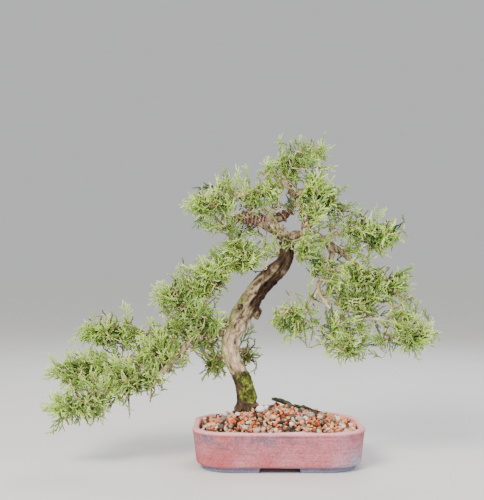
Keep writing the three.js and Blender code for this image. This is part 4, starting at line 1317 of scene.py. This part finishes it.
def growShoot(rng, start, way, length, radius, lean, ages, parts):
    # one shoot: a thin stem beaded with scales; returns points along it and its direction there
    steps = max(2, round(length / foliage["scaleStep"]))
    path, ways = [start], [way]
    for _ in range(steps):
        way = unit(way + lean / steps + rng.normal(size=3) * 0.022)
        path.append(path[-1] + way * length / steps)
        ways.append(way)
    share = np.linspace(0, 1, steps + 1)
    beads = 1 + 0.14 * (-1) ** np.arange(steps + 1)
    radii = radius * (1 - 0.38 * share ** 2) * beads
    points, faces = tube(path, radii, 4, 0.5)
    age = ages[0] + (ages[1] - ages[0]) * np.concatenate([np.repeat(share, 4), [0, 1]])
    parts.append((points, faces, age))
    return np.array(path), np.array(ways)


def makeSpray(rng, length):
    # local frame: z along the spray, x across its plane
    parts = []
    radius = foliage["shootRadius"]
    lean = np.array([rng.uniform(-0.13, 0.13), rng.uniform(0, 0.2), 0])
    path, ways = growShoot(rng, np.zeros(3), np.array([0, 0, 1.0]), length, radius, lean,
                           (0.0, 1.0), parts)
    lengths = np.linspace(0, length, len(path))
    at, side = foliage["sideStep"] * 0.7, rng.choice([-1, 1])
    while at < length * 0.94:
        share = at / length
        k = int(np.argmin(np.abs(lengths - at)))
        reachOut = length * 0.5 * (1 - 0.64 * share) * rng.uniform(0.65, 1.2)
        reachOut = reachOut * min(1, 0.45 + share * 2.5)
        angle = math.radians(rng.uniform(*foliage["forkAngles"]))
        plane = rng.normal(0, 0.4)
        sideways = np.array([side * math.cos(plane), math.sin(plane), 0])
        way = unit(ways[k] * math.cos(angle) + sideways * math.sin(angle))
        if reachOut > 2.4 * mm:
            subPath, subWays = growShoot(rng, path[k], way, reachOut, radius * 0.94, ways[k] * 0.3,
                                         (share * 0.75 + 0.1, 0.5 * share + 0.5), parts)
            subAt, subSide = foliage["sideStep"], rng.choice([-1, 1])
            while subAt < reachOut * 0.9:
                j = int(np.argmin(np.abs(np.linspace(0, reachOut, len(subPath)) - subAt)))
                twist = rng.normal(0, 0.5)
                out = unit(np.cross(subWays[j], [0, 1.0, 0.2])) * subSide
                out = unit(out * math.cos(twist) + np.array([0, math.sin(twist), 0]))
                turn = math.radians(rng.uniform(*foliage["tipAngles"]))
                tipWay = unit(subWays[j] * math.cos(turn) + out * math.sin(turn))
                span = min(reachOut * 0.66, rng.uniform(*foliage["tipLengths"]))
                growShoot(rng, subPath[j], tipWay, span, radius * 0.88, subWays[j] * 0.15,
                          (0.45 + 0.25 * share, 0.75 + 0.25 * share), parts)
                subAt += foliage["sideStep"] * rng.uniform(0.8, 1.2)
                subSide = -subSide
        at += foliage["sideStep"] * rng.uniform(0.75, 1.25)
        side = -side
    points, faces, _ = joinArrays([(points, faces) for points, faces, _ in parts])
    return points, faces, np.concatenate([age for _, _, age in parts])


def leafMaterial():
    # juniper scale leaves: slightly waxy, so lit shoots go pale; lime at the tips, with painted
    # shade: a darker copy of the colours for sprays deep within a pad or low on it
    material, tree, shader = newMaterial("juniperScaleLeaf", {"Roughness": 0.5, "IOR": 1.45,
                                                              "Specular IOR Level": 0.45})
    age = addNode(tree, "ShaderNodeAttribute", {"attribute_name": "shootAge"})
    depth = addNode(tree, "ShaderNodeAttribute", {"attribute_name": "paintedPadLight"})
    outer = addNode(tree, "ShaderNodeValToRGB", {"stops": [
        (0.0, "#c8b68e"), (0.16, "#adae62"), (0.32, "#9fb84c"), (0.6, "#b3d458"), (0.8, "#d3ec7c"),
        (1.0, "#f0fbb0")]},
                    {"Fac": (age, "Fac")})
    # painted shade: the darker copy for sprays deep within a pad
    inner = addNode(tree, "ShaderNodeValToRGB", {"stops": [
        (0.0, "#3d3626"), (0.2, "#26371e"), (0.4, "#203f20"), (0.7, "#38613a"), (1.0, "#648f58")]},
                    {"Fac": (age, "Fac")})
    blend = addNode(tree, "ShaderNodeMix", {"data_type": "RGBA"},
                    {0: (depth, "Fac"), 6: (inner, 0), 7: (outer, 0)})
    link(tree, shader, {"Base Color": (blend, 2)})
    return material


def twigMaterial():
    # young juniper wood: smooth, tan to nearly white where the leaves have dropped
    material, tree, shader = newMaterial("juniperTwigBare",
                                         {"Roughness": 0.75, "Specular IOR Level": 0.3})
    place = addNode(tree, "ShaderNodeTexCoord")
    patch = addNode(tree, "ShaderNodeTexNoise", {"Scale": perLump(9 * mm), "Detail": 4},
                    {"Vector": (place, "Object")})
    tone = addNode(tree, "ShaderNodeValToRGB", {"stops": [
        (0.3, "#8d784f"), (0.45, "#b59f70"), (0.58, "#d6c598"), (0.7, "#e9dfc0")]},
                   {"Fac": (patch, 0)})
    bump = addNode(tree, "ShaderNodeBump", {"Strength": 0.4, "Distance": 0.3 * mm},
                   {"Height": (patch, 0)})
    link(tree, shader, {"Base Color": (tone, 0), "Normal": (bump, 0)})
    return material


def spiral(count):
    # directions spread evenly over a ball
    z = 1 - (2 * np.arange(count) + 1) / count
    goldenAngle = 2.39996
    angle = np.arange(count) * goldenAngle
    return np.stack([np.sqrt(1 - z * z) * np.cos(angle), np.sqrt(1 - z * z) * np.sin(angle), z], 1)


def padSprays(rng, node, woodTree):
    # where a pad's sprays grow: base, direction and size, furthest in first
    low, high = (np.array(corner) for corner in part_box(node))
    middle, half = (low + high) / 2, (high - low) / 2
    half = half * foliage["padShares"].get(node, (1, 1, 1))
    rise = foliage["uprightPads"].get(node, 0.2)
    power = 1.6  # gives an ellipsoid's area to about 1 %
    terms = (half[0] * half[1]) ** power + (half[0] * half[2]) ** power
    terms = terms + (half[1] * half[2]) ** power
    area = 4 * math.pi * (terms / 3) ** (1 / power)
    count = round(area / foliage["areaPerSpray"] / foliage["openPads"].get(node, 1))
    sprays = []
    balls = spiral(count)
    lumps = noiseAt(balls + rng.uniform(0, 9, 3), 0.6)
    for i in range(count):
        ball = unit(balls[i] + rng.normal(size=3) * 0.06)
        depth = 1 - 0.66 * rng.random() ** 1.5
        tip = middle + half * ball * depth * (1.06 + foliage["unevenness"] * lumps[i])
        wood = woodTree.find(tip)[0]
        outward = unit(tip - np.array(wood))
        size = rng.uniform(*foliage["sprayLengths"]) * (0.72 + 0.28 * depth)
        size *= min(1, 0.3 + half.max() / (40 * mm))
        way = unit(0.62 * outward + 0.42 * unit(ball / half) + [0, 0, rise]
                   + rng.normal(size=3) * 0.22)
        base = tip - way * size
        if tip[2] > domeAt(tip[0], tip[1]) + 6 * mm or roomAt(tip[0], tip[1]) < -4 * mm:
            sprays.append((base, way, size, depth, ball[2]))
    order = np.argsort([woodTree.find(base)[2] for base, *_ in sprays])
    return [sprays[i] for i in order]


def growTwigs(rng, sprays, woodTree, woodWays):
    # each spray's base joins the nearest wood or twig that it could have grown from
    places, ways, parents, strands = [], [], [], []
    for base, way, *_ in sprays:
        found = woodTree.find_n(base, 6)
        options = [(np.array(p), woodWays[i], -1) for p, i, _ in found]
        if places:
            gaps = np.linalg.norm(np.array(places) - base, axis=1)
            options += [(places[j], ways[j], j) for j in np.argsort(gaps)[:14]]
        costs = []
        for point, _, _ in options:
            gap = base - point
            costs.append(np.linalg.norm(gap) * (1.7 - 0.7 * float(unit(gap) @ way)))
        point, startWay, parent = options[int(np.argmin(costs))]
        gap = np.linalg.norm(base - point)
        startWay = unit(unit(startWay) * 0.5 + unit(base - point))
        knots = [point, point + startWay * gap * 0.35, base - way * gap * 0.35,
                 base + way * 1.5 * mm]
        steps = max(3, math.ceil(gap / (3.5 * mm)))
        path = []
        for t in np.linspace(0, 1, steps + 1):
            weights = [(1 - t) ** 3, 3 * t * (1 - t) ** 2, 3 * t * t * (1 - t), t ** 3]
            wobble = rng.normal(size=3) * 0.35 * mm * (0 < t < 1)
            path.append(sum(w * k for w, k in zip(weights, knots)) + wobble)
        first = len(places)
        for j, p in enumerate(path[1:]):
            places.append(p)
            ways.append(unit(p - path[j]))
            parents.append(parent if j == 0 else first + j - 1)
        strands.append((path, first))
    return strands, places, parents


def twigTubes(strands, parents, count):
    # the pipe rule: a twig is as thick as what it carries
    carried = np.zeros(count)
    for path, first in strands:
        carried[first + len(path) - 2] += 1
    for j in range(count - 1, -1, -1):
        if parents[j] >= 0:
            carried[parents[j]] += carried[j]
    radii = foliage["twigRadius"] * np.maximum(carried, 1) ** 0.36
    parts = []
    for path, first in strands:
        own = radii[first:first + len(path) - 1]
        parts.append(tube(path, np.concatenate([own[:1], own]), 6))
    return parts


def clearOfTrunk(spray):
    # true where a spray leaves the bare part of the trunk in sight
    base, way, size, *_ = spray
    bare = trunkLine[trunkLine[:, 2] < trunkHigh.z - foliage["trunkInSight"]]
    tip = base + way * size
    gaps = [np.linalg.norm(bare - spot, axis=1).min() for spot in (base, (base + tip) / 2, tip)]
    return min(gaps) > foliage["trunkClearance"]


def bridgeSprays(rng, first, second):
    # sprays between two neighbouring pads
    (lowA, highA), (lowB, highB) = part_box(first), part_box(second)
    start, end = np.array(lowA + highA) / 2, np.array(lowB + highB) / 2
    span = np.linalg.norm(end - start)
    sprays = []
    for _ in range(round(span / foliage["bridgeEvery"])):
        share = rng.uniform(0.22, 0.78)
        base = start + (end - start) * share + rng.normal(size=3) * [9 * mm, 8 * mm, 9 * mm]
        way = unit(rng.normal(size=3) * [1, 0.6, 1] + unit(end - start) * rng.uniform(-0.6, 0.6)
                   + [0, -0.1, 0.25])
        size = rng.uniform(0.7, 1.05) * foliage["sprayLengths"][0]
        sprays.append((base - way * size * 0.5, way, size, rng.uniform(0.4, 0.95), float(way[2])))
    return [spray for spray in sprays if clearOfTrunk(spray)]


def bareTwigs(rng, woodPoints, woodNormals):
    # leafless twigs, curling a little, as old shoots leave
    twigs = []
    for i in rng.integers(len(woodPoints), size=foliage["bareTwigs"]):
        way = unit(woodNormals[i] + rng.normal(size=3) * 0.5)
        curl = rng.normal(size=3) * 0.16
        path = [woodPoints[i] - way * 0.5 * mm]
        for _ in range(int(rng.integers(6, 15))):
            way = unit(way + curl + rng.normal(size=3) * 0.1)
            path.append(path[-1] + way * 2.6 * mm)
        radii = np.linspace(1, 0.45, len(path)) * foliage["twigRadius"] * rng.uniform(0.8, 1.3)
        twigs.append(tube(path, radii, 6))
    return twigs


def branchSprays(rng, woodPoints, woodNormals, thickness):
    # sprays that sit on the branches themselves, where they are thin
    sprays, kept = [], []
    for i in rng.permutation(len(woodPoints)):
        point = woodPoints[i]
        free = not kept or (np.linalg.norm(np.array(kept) - point, axis=1).min()
                            > foliage["branchEvery"])
        if thickness[i] < 5.4 * mm and free:
            kept.append(point)
            trunkPoint = trunkLine[np.argmin(np.linalg.norm(trunkLine - point, axis=1))]
            ahead = unit(point - trunkPoint)
            way = unit(0.75 * woodNormals[i] + 0.6 * ahead + [0, 0, 0.12]
                       + rng.normal(size=3) * 0.2)
            size = rng.uniform(0.55, 0.95) * foliage["sprayLengths"][1]
            sprays.append((point, way, size, rng.uniform(0.45, 0.95), float(way[2])))
    return [spray for spray in sprays if clearOfTrunk(spray)]


def placeSpray(rng, shapes, lengths, spray):
    base, way, size, depth, rise = spray
    nearest = int(np.argmin(np.abs(lengths - size)))
    points, faces, age = shapes[nearest]
    axes = frameOf(way, rng.normal(size=3))
    tone = rng.uniform(-0.14, 0.14)
    # painted light and shade: paler for sprays near a pad's outside and top, darker for those deep
    # within and low, shifted by a random tone
    light = float(np.clip(0.08 + 0.86 * (depth - 0.35) / 0.65 + 0.2 * rise + tone, 0.02, 0.98))
    points = points * (size / lengths[nearest]) @ axes + base
    return points, faces, np.clip(age + tone * 0.6, 0.02, 0.98), np.full(len(points), light)


def addSprays(name, placed, nodes, material):
    points, faces, _ = joinArrays([(points, faces) for points, faces, _, _ in placed])
    mesh = meshFrom(name, points, faces, smooth=False)
    age = np.concatenate([age for _, _, age, _ in placed])
    # each spray's painted light and shade
    depth = np.concatenate([depth for _, _, _, depth in placed])
    setValues(mesh, "shootAge", age)
    setValues(mesh, "paintedPadLight", depth)
    # the bake's map: the colour depends on nothing but these two
    corners = faces.ravel()
    spread = np.tile([-0.004, 0.004, 0.0], len(faces))
    uv = np.stack([age[corners] + spread[::-1], depth[corners] + spread], 1)
    layer = mesh.uv_layers.new(name="OFBake")
    layer.data.foreach_set("uv", np.clip(uv, 0.001, 0.999).astype(np.float32).ravel())
    addPiece(name, mesh, nodes, material)
    print(name, len(placed), "sprays", len(faces), "faces")


def miniSprays(rng, strands):
    sprays = []
    for path, _ in strands:
        total = np.linalg.norm(np.diff(path, axis=0), axis=1).sum()
        for _ in range(int(total / foliage["miniEvery"] + rng.random())):
            j = int(rng.integers(max(1, len(path) // 3), len(path)))
            ahead = unit(path[j] - path[j - 1])
            out = unit(np.cross(ahead, rng.normal(size=3)))
            way = unit(ahead * 0.75 + out + [0, 0, 0.15])
            sprays.append((path[j], way, rng.uniform(*foliage["miniLengths"]) * mm, 0.6, 0))
    return sprays


def makeFoliage():
    rng = np.random.default_rng(foliage["seed"])
    lengths = np.linspace(*foliage["sprayLengths"], foliage["prototypes"])
    shapes = [makeSpray(rng, length) for length in lengths]
    miniLengths = np.linspace(*foliage["miniLengths"], 6) * mm
    minis = [makeSpray(rng, length) for length in miniLengths]
    thin = (branchThickness < 12 * mm) & (rng.random(len(branchPoints)) < 0.12)
    woodPoints, woodNormals = branchPoints[thin], branchNormals[thin]
    woodTree = KDTree(len(woodPoints))
    for i, p in enumerate(woodPoints):
        woodTree.insert(p, i)
    woodTree.balance()
    leaf, twigs = leafMaterial(), []
    for node in padNodes:
        sprays = padSprays(rng, node, woodTree)
        strands, places, parents = growTwigs(rng, sprays, woodTree, woodNormals)
        twigs += twigTubes(strands, parents, len(places))
        placed = [placeSpray(rng, shapes, lengths, spray) for spray in sprays]
        placed += [placeSpray(rng, minis, miniLengths, spray) for spray in miniSprays(rng, strands)]
        addSprays(node.replace("foliage", "sprays"), placed, [node], leaf)
    between = [spray for pair in foliage["bridges"] for spray in bridgeSprays(rng, *pair)]
    strands, places, parents = growTwigs(rng, between, woodTree, woodNormals)
    twigs += twigTubes(strands, parents, len(places))
    addSprays("sprays_between_pads", [placeSpray(rng, shapes, lengths, spray) for spray in between],
              [], leaf)
    twigs += bareTwigs(rng, woodPoints, woodNormals)
    along = branchSprays(rng, woodPoints, woodNormals, branchThickness[thin])
    addSprays("sprays_on_branches", [placeSpray(rng, shapes, lengths, spray) for spray in along],
              [], leaf)
    points, faces, _ = joinArrays(twigs)
    addPiece("twigs", meshFrom("twigs", points, faces), [], twigMaterial())
    print("twigs", len(faces), "faces")


makeFoliage()
